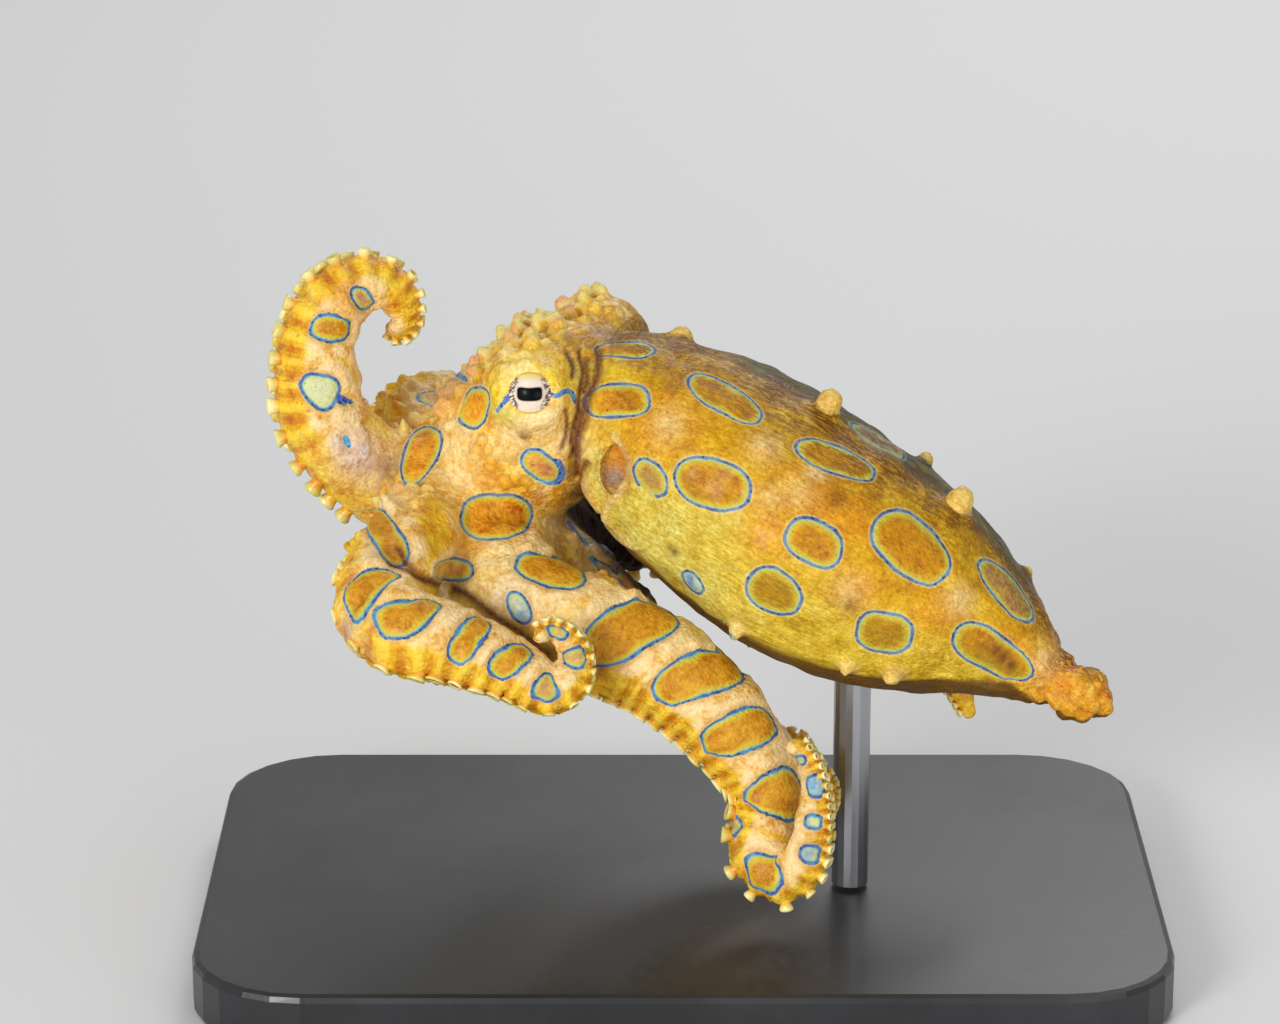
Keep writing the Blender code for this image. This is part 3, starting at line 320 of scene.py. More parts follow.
# On the arms that the photograph shows: place along the arm (mm), degrees about it from the
# suckers, half long and half short size (mm), degrees that the long side is turned from the
# arm's way, squareness, narrowing and pale blue fill
ARM_RINGS = {
    "left_1": (
        (16.1, -113, 1.6, 0.95, 102, 2.2, 0.15, 0), (11.7, -97, 1.4, 1.15, 60, 2.3, 0.2, 2),
        (19.6, -128, 1.15, 0.75, 100, 2.4, 0.3, 0.2),
        (14.2, 176, 1.0, 0.7, 0, 2.2, 0.0, 0.8), (10.2, 176, 0.8, 0.6, 0, 2.2, 0.0, 0.8),
        (22.0, 170, 0.8, 0.5, 0, 2.2, 0.0, 0.5), (24.6, 165, 0.7, 0.45, 0, 2.2, 0.0, 0.5),
    ),
    "left_2": (
        (13.1, 95, 2.3, 1.1, 103, 2.4, 0.1, 0), (16.3, 121, 2.55, 0.98, 63, 2.5, 0.1, 0),
        (19.9, 119, 2.35, 0.8, 78, 2.5, 0.05, 0), (22.8, 112, 1.9, 0.9, 65, 2.5, 0.0, 0),
        (25.9, 98, 1.05, 0.8, 105, 2.3, 0.25, 0.15), (29.6, 100, 0.95, 0.72, 90, 2.5, 0.0, 0.2),
        (32.0, 90, 0.55, 0.7, 90, 2.4, 0.0, 0.3),
    ),
    "left_3": (
        (13.5, 127, 4.2, 1.6, 62, 2.5, 0.0, 0), (18.9, 134, 3.8, 1.4, 64, 2.6, 0.0, 0),
        (23.4, 121, 3.1, 1.35, 74, 2.6, 0.0, 0), (28.4, 120, 2.5, 1.55, 92, 2.4, 0.0, 0),
        (34.4, 106, 1.75, 1.2, 50, 2.4, 0.0, 0), (31.0, 35, 1.0, 0.6, 60, 2.2, 0.0, 0.4),
        (38.4, 80, 0.8, 0.6, 90, 2.3, 0.0, 0.8), (40.6, 85, 0.7, 0.45, 90, 2.3, 0.0, 0.8),
        (43.0, 75, 0.85, 0.7, 90, 2.3, 0.0, 1), (45.0, 120, 0.5, 0.35, 90, 2.3, 0.0, 0.6),
    ),
    "right_3": (
        (12.0, 176, 2.4, 1.15, 86, 2.4, 0.0, 0), (16.2, 184, 2.3, 1.15, 95, 2.4, 0.0, 0),
        (20.4, 174, 2.2, 1.1, 88, 2.4, 0.0, 0), (24.4, 182, 2.0, 1.05, 92, 2.4, 0.0, 0),
        (28.2, 176, 1.8, 1.0, 85, 2.4, 0.0, 0), (31.6, 182, 1.6, 0.85, 92, 2.4, 0.0, 0),
        (34.6, 176, 1.2, 0.7, 88, 2.3, 0.0, 0.2), (37.7, 112, 1.2, 0.62, 0, 1.5, 0.0, 0.3),
    ),
}

# What the skin's finish reads at each point
SKIN_FIELDS = (
    "ring", "blue_fill", "mantle", "arm", "belly", "back", "flank", "tip", "cream", "green",
    "brown", "lilac", "yellow", "orange", "lime", "azure", "shade", "gap", "ridge", "rib",
    "sucker_side", "wart", "cup",
)
# The distance given to a ring or a line that is on another surface
REMOTE = 9.0
# How far the skin's forms blend (mm), and how hard and how often it is drawn smooth: all over,
# then in the web, then again once the funnel's cup is pressed in
FORM_BLEND = 0.4
RELAX_ALL, RELAX_WEB, RELAX_CUP = (0.5, 4), (0.5, 14), (0.4, 2)
FLAT_RING_SQUARENESS = 2.2
# How far a ring's edge wanders from its oval, in long waves and in short ones (mm)
WANDER_LONG, WANDER_SHORT = 0.14, 0.07
# Heights of the skin's relief (mm): the swell about a papilla, large warts and their pits, small
# warts and those on top, an arm's grains, the broad swells, the mantle's pleats and cushions, an
# arm's ribs, bands and wrinkles, the groove of a ring's line, the knobs and grains of the tip
PAPILLA_SWELL = 0.3
WART_HEIGHT, WART_PIT, SMALL_WART, SMALL_WART_ON_TOP, ARM_GRAIN = 0.95, 0.15, 0.06, 0.2, 0.07
SWELL, PLEAT, CUSHION = 0.15, 0.09, 0.12
RIB, BAND, WRINKLE = 0.14, 0.2, 0.1
RING_GROOVE = 0.05
TIP_KNOB, TIP_GRAIN = 0.42, 0.16
# For a fold and for a thin rim: its tint, the tint's strength and its rise over its half width. A fold's
# brown tint is painted shade in its crease.
FOLD_LOOKS = {"fold": ("brown", 1.0, -0.9), "rim": ("cream", 0.6, 1.9)}

# The room: its light, each lamp's place (m), size (m) and share of the key light, and the floor
ROOM_COLOUR, ROOM_STRENGTH = (1.0, 0.99, 0.97, 1.0), 0.42
LIGHT_AIM = (0.0, -0.005, 0.032)
LIGHTS = (
    ("key", (-0.3, -0.5, 0.22), 0.2, 1.0),
    ("fill", (0.34, -0.5, 0.06), 0.35, 0.42),
    ("rim", (0.12, 0.45, 0.42), 0.3, 0.5),
)
FLOOR_SIZE = 8.0
CAMERA_CLIP = 0.01


def srgb(red, green, blue):
    """A colour given as screen values from 0 to 255, as the shader wants it."""
    def linear(value):
        value /= 255.0
        return value / 12.92 if value <= 0.04045 else ((value + 0.055) / 1.055) ** 2.4
    return (linear(red), linear(green), linear(blue), 1.0)


def unit(vector):
    vector = np.asarray(vector, float)
    return vector / np.linalg.norm(vector)


def place(points):
    """Points in right, up and away as points above the stand's foot, in metres."""
    right, up, away = np.asarray(points, float).reshape(-1, 3).T
    return MM * np.stack([
        right + SHIFT_X,
        up * math.sin(LEAN) + away * math.cos(LEAN) + SHIFT_Y,
        up * math.cos(LEAN) - away * math.sin(LEAN) + LIFT,
    ], axis=1)


def pose_of(points):
    """The other way round: points in metres as right, up and away in millimetres."""
    x, y, z = (np.asarray(points, float).reshape(-1, 3) / MM - (SHIFT_X, SHIFT_Y, LIFT)).T
    return np.stack([
        x,
        y * math.sin(LEAN) + z * math.cos(LEAN),
        y * math.cos(LEAN) - z * math.sin(LEAN),
    ], axis=1)


def pixels_of(pose_points):
    """Where points of the pose fall in the photograph's frame."""
    right, up, away = pose_points.T
    spread = CAMERA_AWAY / (CAMERA_AWAY + away) / PIXEL
    return np.stack([PHOTO_SIZE[0] / 2 + right * spread, PHOTO_SIZE[1] / 2 - up * spread], axis=1)


def smoothstep(low, high, value):
    share = np.clip((value - low) / (high - low), 0.0, 1.0)
    return share * share * (3 - 2 * share)


# Mesh helpers
def select_only(*items):
    bpy.ops.object.select_all(action="DESELECT")
    for item in items:
        item.select_set(True)
    bpy.context.view_layer.objects.active = items[0]


def apply_all(item):
    select_only(item)
    for modifier in list(item.modifiers):
        bpy.ops.object.modifier_apply(modifier=modifier.name)


def points_of(mesh):
    points = np.empty(len(mesh.vertices) * 3, np.float32)
    mesh.vertices.foreach_get("co", points)
    return points.reshape(-1, 3).astype(float)


def move_points(mesh, points):
    mesh.vertices.foreach_set("co", np.asarray(points, np.float32).ravel())
    mesh.update()


def write_field(mesh, name, values):
    field = mesh.attributes.new(name, "FLOAT", "POINT")
    field.data.foreach_set("value", np.asarray(values, np.float32))


def turn_outwards(item):
    select_only(item)
    bpy.ops.object.mode_set(mode="EDIT")
    bpy.ops.mesh.select_all(action="SELECT")
    bpy.ops.mesh.normals_make_consistent(inside=False)
    bpy.ops.object.mode_set(mode="OBJECT")


def shaped_ball(name, shape, segments, rings):
    """A ball primitive whose points are moved to where shape puts them, in the pose's axes."""
    bpy.ops.object.select_all(action="DESELECT")
    bpy.ops.mesh.primitive_uv_sphere_add(segments=segments, ring_count=rings, radius=1.0)
    item = bpy.context.object
    item.name = item.data.name = name
    move_points(item.data, place(shape(points_of(item.data))))
    turn_outwards(item)
    return item


def ellipsoid(centre, axes, halves):
    axes = np.array(axes, float)
    return lambda ball: np.asarray(centre) + (ball * halves) @ axes


def join(items, name):
    select_only(*items)
    bpy.ops.object.join()
    item = bpy.context.object
    item.name = item.data.name = name
    return item


def finish_piece(item, replaced, slot, *materials):
    """Gives a finished piece its finishes and smooth shading, rides it on the body and hides the CAD nodes
    that it replaces.
    """
    item.data.materials.clear()
    for material in materials:
        item.data.materials.append(material)
    select_only(item)
    bpy.ops.object.shade_smooth()
    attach(item, "root")
    if replaced:
        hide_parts(*replaced)


# The animal's forms
def smooth_steps(at, places, values):
    """A smooth line through a few values, with the slope at each from its neighbours."""
    slopes = np.gradient(values, places)
    at = np.clip(at, places[0], places[-1])
    i = np.clip(np.searchsorted(places, at, side="right") - 1, 0, len(places) - 2)
    width = places[i + 1] - places[i]
    t = (at - places[i]) / width
    return ((1 + 2 * t) * (1 - t) ** 2 * values[i] + t * (1 - t) ** 2 * width * slopes[i]
            + t * t * (3 - 2 * t) * values[i + 1] + t * t * (t - 1) * width * slopes[i + 1])


def mantle_axes():
    """Start, length, and the directions along, up and to the left of the mantle."""
    start, tip = np.array(MANTLE_START), np.array(MANTLE_TIP)
    along = unit(tip - start)
    left = unit(np.cross(-along, MANTLE_UP))
    return start, np.linalg.norm(tip - start), along, unit(np.cross(left, -along)), left


def mantle_section(share):
    shares, halves, rises = np.array(MANTLE_STATIONS).T
    return smooth_steps(share, shares, halves), smooth_steps(share, shares, rises)


def mantle_point(share, angle, out=0.0):
    """A point on the mantle: angle 0 is the back, and positive angles turn to the left."""
    start, length, along, up, left = mantle_axes()
    half, rise = mantle_section(share)
    keel = MANTLE_KEEL * np.exp(-((np.abs(angle) - KEEL_ANGLE) / 0.2) ** 2) * np.clip(half / 6, 0, 1)
    height = (half + out + keel) * np.cos(angle) + rise
    breadth = (half * MANTLE_WIDTH + out + keel) * np.sin(angle)
    return (start + np.multiply.outer(share * length, along)
            + np.multiply.outer(height, up) + np.multiply.outer(breadth, left))


def mantle_spot(share, degrees, out=0.0):
    """One point on the mantle, its angle in degrees."""
    return mantle_point(np.array([share]), np.array([math.radians(degrees)]), out)[0]


def pole_share(ball):
    """How far each point of a ball lies from its upper pole to its lower one, from 0 to 1."""
    return np.arccos(np.clip(ball[:, 2], -1, 1)) / math.pi


def near_to(points, spot, radius):
    """1 at a spot, and less the further a point lies from it."""
    return np.exp(-(((points - spot) ** 2).sum(1)) / radius ** 2)


def mantle_shape(ball):
    first, last = MANTLE_STATIONS[0][0], MANTLE_STATIONS[-1][0]
    polar = pole_share(ball)
    share = first + (last - first) * polar
    closed = np.clip(np.sin(np.clip(polar, 0, 1) * math.pi) * 6.0, 0, 1) ** 0.5
    points = mantle_point(share, np.arctan2(ball[:, 1], ball[:, 0]))
    start, length, along, up, _ = mantle_axes()
    rise = mantle_section(share)[1]
    middle = start + np.multiply.outer(share * length, along) + np.multiply.outer(rise, up)
    return middle + (points - middle) * closed[:, None]


def papilla_shape(share, degrees, radius, height):
    """A neck of skin with a round top, its foot sunk into the mantle."""
    foot, top = mantle_spot(share, degrees, -0.8), mantle_spot(share, degrees, height)
    axis = unit(top - foot)
    across = unit(np.cross(axis, (0.3, 0.2, 0.9)))
    reach = np.linalg.norm(top - foot) * 0.5 + radius * 0.5

    def shape(ball):
        waist = 1.0 - 0.28 * np.exp(-((ball[:, 2] - 0.15) / 0.3) ** 2)
        foot_flare = 1.0 + 0.7 * np.clip(-ball[:, 2], 0, 1) ** 2
        flat = ball[:, :2] * (radius * waist * foot_flare)[:, None]
        return ((foot + top) / 2 + np.multiply.outer(flat[:, 0], across)
                + np.multiply.outer(flat[:, 1], np.cross(axis, across))
                + np.multiply.outer(ball[:, 2] * reach, axis))

    return shape


def head_axes():
    forward = unit(FORWARD)
    left = unit(np.cross(forward, DORSAL))
    return forward, unit(np.cross(left, forward)), left


def spline(points):
    """Even smooth points through a route, with the share of the way at each, and its length."""
    points = np.asarray(points, float)
    ends = np.vstack([2 * points[0] - points[1], points, 2 * points[-1] - points[-2]])
    t = np.linspace(0, 1, 24, endpoint=False)[:, None]
    fine = [
        0.5 * (2 * b + (c - a) * t + (2 * a - 5 * b + 4 * c - d) * t ** 2
               + (3 * b - a - 3 * c + d) * t ** 3)
        for a, b, c, d in zip(ends, ends[1:], ends[2:], ends[3:])
    ]
    fine = np.vstack([*fine, points[-1:]])
    run = np.concatenate([[0], np.cumsum(np.linalg.norm(np.diff(fine, axis=0), axis=1))])
    return fine, run / run[-1], run[-1]


class Arm:
    """The centre line of one arm, and what lies at each share of its length."""

    def __init__(self, name):
        self.name, self.spec = name, ARMS[name]
        forward, up, left = head_axes()
        angle = math.radians(self.spec["angle"])
        reach = up * math.cos(angle) + left * math.sin(angle)
        self.root_hinge = np.cross(forward, reach)
        roots = [np.array(CROWN_CENTRE) + reach * r + forward * self.spec["ahead"] for r in ROOT_REACHES]
        self.line, self.shares, self.length = spline(np.vstack([roots, self.spec["route"]]))
        self.free = self.spec["free"]
        self.samples = np.linspace(0, 1, ARM_SAMPLES)
        self.centres, self.headings, self.outwards, self.radii = self.at(self.samples)

    def at(self, share):
        """Centre, heading, outward (sucker) direction and radius at shares of the length."""
        share = np.atleast_1d(np.asarray(share, float))
        step = 0.6 / self.length
        centre = self.point(share)
        heading = self.point(np.clip(share + step, 0, 1)) - self.point(np.clip(share - step, 0, 1))
        heading /= np.linalg.norm(heading, axis=1)[:, None]
        roll = smoothstep(ROLL_BEGINS, ROLL_ENDS, share)[:, None]
        hinge = self.root_hinge * (1 - roll) + unit(self.spec["hinge"]) * roll
        outward = np.cross(heading, hinge)
        outward /= np.linalg.norm(outward, axis=1)[:, None]
        spec = self.spec
        radius = spec["tip"] + (spec["root"] - spec["tip"]) * (1 - share ** spec["fullness"]) ** TAPER
        return centre, heading, outward, radius

    def point(self, share):
        return np.stack([np.interp(share, self.shares, self.line[:, i]) for i in range(3)], axis=1)

    def shape(self, ball):
        share = pole_share(ball)
        centre, heading, outward, radius = self.at(share)
        angle = np.arctan2(ball[:, 1], ball[:, 0])
        tip_share = self.spec["tip"] / self.length
        closed = np.sqrt(1 - np.clip((share - 1 + tip_share) / tip_share, 0, 1) ** 2)
        closed *= smoothstep(0, 0.02, share) ** 0.5
        out = outward * np.cos(angle)[:, None] + np.cross(heading, outward) * np.sin(angle)[:, None]
        return centre + out * (radius * closed)[:, None]

    def sucker_shares(self, spacing):
        share, found = SUCKER_START / self.length, []
        while share < LAST_SUCKER:
            found.append(share)
            share += sucker_rim(self.at(share)[3][0]) * spacing / self.length
        return np.array(found)


def sucker_rim(arm_radius):
    return min(max(SUCKER_LEAST, arm_radius * SUCKER_SHARE), SUCKER_MOST)


def rope_shape(points, radius):
    """A round bar through points of the pose, for the mantle's rolled edge."""
    line, shares, _ = spline(points)

    def shape(ball):
        share = pole_share(ball)
        centre = np.stack([np.interp(share, shares, line[:, i]) for i in range(3)], axis=1)
        return centre + ball * (1, 1, 0) * radius @ np.array([(1, 0.3, 0), (0, 0, 1), (0, 0, 0)], float)

    return shape


def ring_fold(centre, facing, radius, thickness):
    """A round fold of skin that faces along a direction of the pose."""
    here, there = place([centre, np.asarray(centre) + facing])
    bpy.ops.object.select_all(action="DESELECT")
    bpy.ops.mesh.primitive_torus_add(
        major_segments=40, minor_segments=14, major_radius=radius * MM, minor_radius=thickness * MM)
    item = bpy.context.object
    turn = Vector(there - here).to_track_quat("Z", "Y").to_matrix().to_4x4()
    item.data.transform(Matrix.Translation(here) @ turn)
    return item


def funnel_axes():
    look = unit(FUNNEL_LOOKS)
    across = unit(np.cross(look, (0, 1, 0)))
    return np.array((across, np.cross(across, look), look))


def flesh_forms(arms):
    """Every form of flesh as a closed mesh, before one skin is drawn over them."""
    forward, up, left = head_axes()
    start, _, along, mantle_up, mantle_left = mantle_axes()
    mantle = shaped_ball("mantle_form", mantle_shape, 128, 110)
    forms = [mantle]
    forms += [shaped_ball("papilla", papilla_shape(*entry), 20, 14) for entry in PAPILLAE]
    forms.append(shaped_ball("head_form", ellipsoid(HEAD_CENTRE, (forward, up, left), HEAD_HALF), 64, 48))
    forms.append(shaped_ball("crown_form", ellipsoid(
        CROWN_CENTRE, (forward, up, left), (CROWN_HALF_DEPTH, CROWN_RADIUS, CROWN_RADIUS)), 64, 48))
    forms.append(shaped_ball("neck_form", ellipsoid(
        start - along * NECK_AHEAD + mantle_up * NECK_ABOVE, (along, mantle_up, mantle_left),
        (NECK_HALF_LENGTH, NECK_RADIUS, NECK_RADIUS + NECK_WIDER)), 48, 32))
    for side, centre in EYES.items():
        look = unit(EYE_LOOKS[side])
        swelling = ellipsoid(np.array(centre) - look * EYE_DEPTH, np.eye(3), (EYE_SWELLING,) * 3)
        forms.append(shaped_ball("swelling", swelling, 40, 28))
        forms.append(ring_fold(
            np.array(centre) + look * LID_AHEAD, look, EYE_RADIUS + LID_WIDER, LID_THICKNESS))
    forms.append(ring_fold(np.array(CROWN_CENTRE) + forward * (CROWN_HALF_DEPTH - LIP_SUNK), forward,
                           MOUTH_RADIUS + LIP_WIDER + LIP_THICKNESS * 0.6, LIP_THICKNESS))
    skin_tree = tree_of(mantle.data)
    edge = [skin_at(skin_tree, *pixel)[0] for pixel in pixels_of(np.insert(MARGIN, 2, 0.0, axis=1))]
    forms.append(shaped_ball("margin", rope_shape(np.array(edge) + (0, 0, 0.05), MARGIN_RADIUS), 12, 60))
    forms.append(shaped_ball("funnel_form", ellipsoid(FUNNEL_CENTRE, funnel_axes(), FUNNEL_HALF), 40, 28))
    forms += [shaped_ball("arm_form", arm.shape, 28, round(arm.length / ARM_STEP)) for arm in arms]
    return forms


# The skin over the forms
def tree_of(mesh):
    mesh.calc_loop_triangles()
    faces = [tuple(t.vertices) for t in mesh.loop_triangles]
    return BVHTree.FromPolygons([v.co for v in mesh.vertices], faces)


def skin_at(tree, column, row):
    """What a pixel of the photograph shows: the point of the pose and its outward direction."""
    eye, through = place([(0, 0, -CAMERA_AWAY), (
        (column - PHOTO_SIZE[0] / 2) * PIXEL, (PHOTO_SIZE[1] / 2 - row) * PIXEL, 0)])
    spot, normal = tree.ray_cast(Vector(eye), Vector(through - eye).normalized())[:2]
    if spot is None:
        raise RuntimeError(f"no skin at pixel {column}, {row}")
    return pose_of([spot])[0], pose_of([spot + normal * MM])[0] - pose_of([spot])[0]


def relax(points, edges, where, weight, rounds):
    """Draws each point towards the middle of its neighbours, as hard as where and weight say."""
    count = np.bincount(edges.ravel(), minlength=len(points)).astype(float)
    for _ in range(rounds):
        middle = np.empty_like(points)
        for axis in range(3):
            middle[:, axis] = (
                np.bincount(edges[:, 0], points[edges[:, 1], axis], len(points))
                + np.bincount(edges[:, 1], points[edges[:, 0], axis], len(points))) / count
        points = points + (middle - points) * (where * weight)[:, None]
    return points


def edges_of(mesh):
    edges = np.empty(len(mesh.edges) * 2, np.int32)
    mesh.edges.foreach_get("vertices", edges)
    return edges.reshape(-1, 2)


def normals_of(mesh):
    normals = np.empty(len(mesh.vertices) * 3, np.float32)
    mesh.vertex_normals.foreach_get("vector", normals)
    normals = normals.reshape(-1, 3).astype(float)
    return pose_of(normals * MM) - pose_of(np.zeros((1, 3)))


def along_arms(points, arms):
    """For each point: the gap to the nearest arm's skin, which arm it is, the place along it
    and the angle about it from its suckers."""
    best = np.full(len(points), 1e9)
    which = np.zeros(len(points), int)
    place_along, angle = np.zeros(len(points)), np.zeros(len(points))
    for index, arm in enumerate(arms):
        squared = ((points ** 2).sum(1)[:, None] - 2 * points @ arm.centres.T + (arm.centres ** 2).sum(1))
        gaps = np.sqrt(np.maximum(squared, 0)) - arm.radii
        sample = gaps.argmin(1)
        gap = gaps[np.arange(len(points)), sample]
        offset = points - arm.centres[sample]
        along = (offset * arm.headings[sample]).sum(1)
        outward = arm.outwards[sample]
        side = np.cross(arm.headings[sample], outward)
        nearer = gap < best
        best[nearer] = gap[nearer]
        which[nearer] = index
        place_along[nearer] = (arm.samples[sample] * arm.length + np.clip(along, -0.3, 0.3))[nearer]
        angle[nearer] = np.arctan2((offset * side).sum(1), (offset * outward).sum(1))[nearer]
    return best, which, place_along, angle


def mantle_gap(points):
    """How far points lie outside the mantle, with its share of the length and angle there."""
    start, length, along, up, left = mantle_axes()
    offset = points - start
    share = offset @ along / length
    half, rise = mantle_section(share)
    height, breadth = offset @ up - rise, offset @ left
    beyond = np.clip(share - 1, 0, None) * length + np.clip(-0.04 - share, 0, None) * length
    return np.hypot(height, breadth / MANTLE_WIDTH) - half + beyond, share, np.arctan2(breadth, height)


def oval(offsets, squareness):
    """How far out of an oval offsets lie: 1 on its edge, for offsets over its half sizes."""
    return np.maximum((np.abs(offsets) ** squareness).sum(1) ** (1 / squareness), 1e-6)


def ring_distance(points, normals, centre, facing, offsets, squareness):
    """Signed distance to a ring's edge (mm), outside positive, and far off other surfaces."""
    away = points - centre
    reach = np.linalg.norm(away, axis=1)
    out = oval(offsets, squareness)
    distance = (out - 1) * reach / out
    here = (normals @ facing > -0.15) & (away @ facing > -0.35 * reach - 1.6)
    return np.where(here, distance, REMOTE)


def line_distance(points, route):
    best = np.full(len(points), 1e9)
    for a, b in zip(route, route[1:]):
        share = np.clip((points - a) @ (b - a) / ((b - a) @ (b - a)), 0, 1)
        best = np.minimum(best, np.linalg.norm(points - a - share[:, None] * (b - a), axis=1))
    return best


def arm_rings(arm):
    """The rings of an arm: those that the photograph shows with a like row on its far side, or
    a row along its outer back."""
    if arm.name in ARM_RINGS:
        shown = ARM_RINGS[arm.name]
        far = [(at, -degrees, long * 0.8, short, -turn, *rest)
               for at, degrees, long, short, turn, *rest in shown if abs(degrees) < 140]
        return [*shown, *far]
    draw = np.random.default_rng(len(arm.name) + round(arm.length * 10))
    found, at = [], arm.free * 0.75
    while at < arm.length - 1.2:
        radius = arm.at(at / arm.length)[3][0]
        pitch = 1.5 * radius + 0.7
        found.append((at, 180 + draw.uniform(-18, 18), radius * draw.uniform(0.85, 1.1),
                      pitch * draw.uniform(0.28, 0.36), draw.uniform(75, 105), 2.4, 0.0, 0))
        at += pitch * draw.uniform(0.9, 1.1)
    return found


class Paint:
    """The fields that the skin's finish reads, worked out at each of its points."""

    def __init__(self, points, normals, tree, arms):
        self.points, self.normals, self.tree, self.arms = points, normals, tree, arms
        self.arm_gap, self.which, self.run, self.angle = along_arms(points, arms)
        self.mantle_gap, self.share, self.turn = mantle_gap(points)
        forward, up, left = head_axes()
        crown = (points - CROWN_CENTRE) @ np.array((forward, up, left)).T
        head = (points - HEAD_CENTRE) @ np.array((forward, up, left)).T / HEAD_HALF
        self.head_gap = np.minimum((np.linalg.norm(head, axis=1) - 1) * 6.5, (np.linalg.norm(
            crown / (CROWN_HALF_DEPTH, CROWN_RADIUS, CROWN_RADIUS), axis=1) - 1) * 6.0)
        self.free = np.array([arm.free for arm in arms])[self.which]
        root = smoothstep(0, 3.0, self.free - self.run)
        gaps = np.stack([self.mantle_gap, self.head_gap - root * 1.2, self.arm_gap], axis=1)
        shares = np.exp(-(gaps - gaps.min(1)[:, None]) / FORM_BLEND)
        self.mantle, self.head, self.arm = (shares / shares.sum(1)[:, None]).T
        self.arm_radius = np.zeros(len(points))
        self.flow = np.zeros((len(points), 3))
        for index, arm in enumerate(arms):
            mine = self.which == index
            centre, heading, outward, radius = arm.at(np.clip(self.run[mine] / arm.length, 0, 1))
            offset = points[mine] - centre
            self.arm_radius[mine] = radius
            self.flow[mine] = np.stack([self.run[mine], (offset * outward).sum(1),
                                        (offset * np.cross(heading, outward)).sum(1)], axis=1)
        start, _, along, mantle_up, mantle_left = mantle_axes()
        on_mantle = self.mantle > 0.5
        self.flow[on_mantle] = (points[on_mantle] - start) @ np.array((along, mantle_up, mantle_left)).T
        self.fields = {name: np.zeros(len(points)) for name in SKIN_FIELDS}

    def lay(self, kind, amount):
        self.fields[kind] = np.maximum(self.fields[kind], amount)

    def work_out(self):
        fields, points = self.fields, self.points
        round_back = np.cos(self.turn)
        fields["mantle"], fields["arm"] = self.mantle, self.arm
        crest = smoothstep(0.5, 0.95, self.normals @ unit(DORSAL))
        fields["back"] = self.mantle * smoothstep(0.25, 0.95, round_back) + self.head * crest
        # Painted shade: a strip along the ridge of the back, darkened as its shaded far side
        fields["ridge"] = (self.mantle * smoothstep(0.84, 0.92, round_back + 0.03 * grain(points, 1.5, 2))
                           * smoothstep(0.14, 0.24, self.share) * smoothstep(0.86, 0.72, self.share))
        fields["flank"] = self.mantle * smoothstep(-0.05, -0.45, round_back + 0.1 * grain(points, 3.0, 2))
        # Painted shade: the belly is darkened as the shaded underside of the mantle
        edge = np.cos(np.radians(np.interp(self.share, *np.array(BELLY_SHADE_EDGE).T)))
        fields["belly"] = self.mantle * smoothstep(edge + 0.01, edge - 0.05, round_back)
        fields["tip"] = self.mantle * smoothstep(0.8, 0.93, self.share)
        fields["sucker_side"] = self.arm * smoothstep(-0.1, 0.6, np.cos(self.angle))
        fields["rib"] = self.ribs()
        fields["ring"], fields["blue_fill"] = self.rings()
        self.raised = np.zeros(len(points))
        for kind, half, route in SEEN_LINES:
            self.line(kind, half, route)
        for kind, patches in SEEN_TINTS.items():
            for strength, radius, pixel in patches:
                self.tint(kind, strength, radius, pixel)
        for radius, height, pixel in SEEN_KNOBS:
            self.raised += height * self.tint("cream", 0.8 if height > 0 else 0.0, radius, pixel)
        self.warts()
        self.folds()
        self.papillae()
        fields["cup"] = self.cup()
        return fields

    def tint(self, kind, strength, radius, pixel):
        """Lays a soft patch over a pixel's spot, and gives how near each point is to it."""
        near = near_to(self.points, skin_at(self.tree, *pixel)[0], radius)
        self.lay(kind, near * strength)
        return near

    def papillae(self):
        """Pale tops on the papillae, which rise from broad swells."""
        for share, degrees, radius, height in PAPILLAE:
            foot, top = mantle_spot(share, degrees, -0.2), mantle_spot(share, degrees, height)
            self.raised += PAPILLA_SWELL * self.mantle * near_to(self.points, foot, 1.9 * radius)
            near = smoothstep(radius + 0.6, radius + 0.2, line_distance(self.points, [foot, top]))
            near *= smoothstep(0.1, 0.6, self.mantle_gap)
            for kind, strength in (("yellow", 0.55), ("cream", 0.4)):
                self.lay(kind, strength * near)
            for kind in ("back", "ridge", "flank", "belly"):
                self.fields[kind] *= 1 - near

    def warts(self):
        """Round warts all over the head, largest on its top, and low grains on the arms."""
        points = self.points
        top = smoothstep(0.3, 0.8, self.normals @ unit(DORSAL))
        crown = np.maximum(self.head, self.arm * smoothstep(3.0, 0.0, self.run - self.free))
        large, small = lumps(points, 1.25), lumps(points + 3.1, 0.8)
        ring = smoothstep(0.1, 0.8, self.fields["ring"])
        self.fields["wart"] = crown * np.maximum(large * top, small * (0.3 + 0.5 * top)) * ring
        self.raised += crown * ring * (top * (WART_HEIGHT * large - WART_PIT)
                                       + small * (SMALL_WART + SMALL_WART_ON_TOP * top))
        self.raised += ARM_GRAIN * small * self.arm * ring

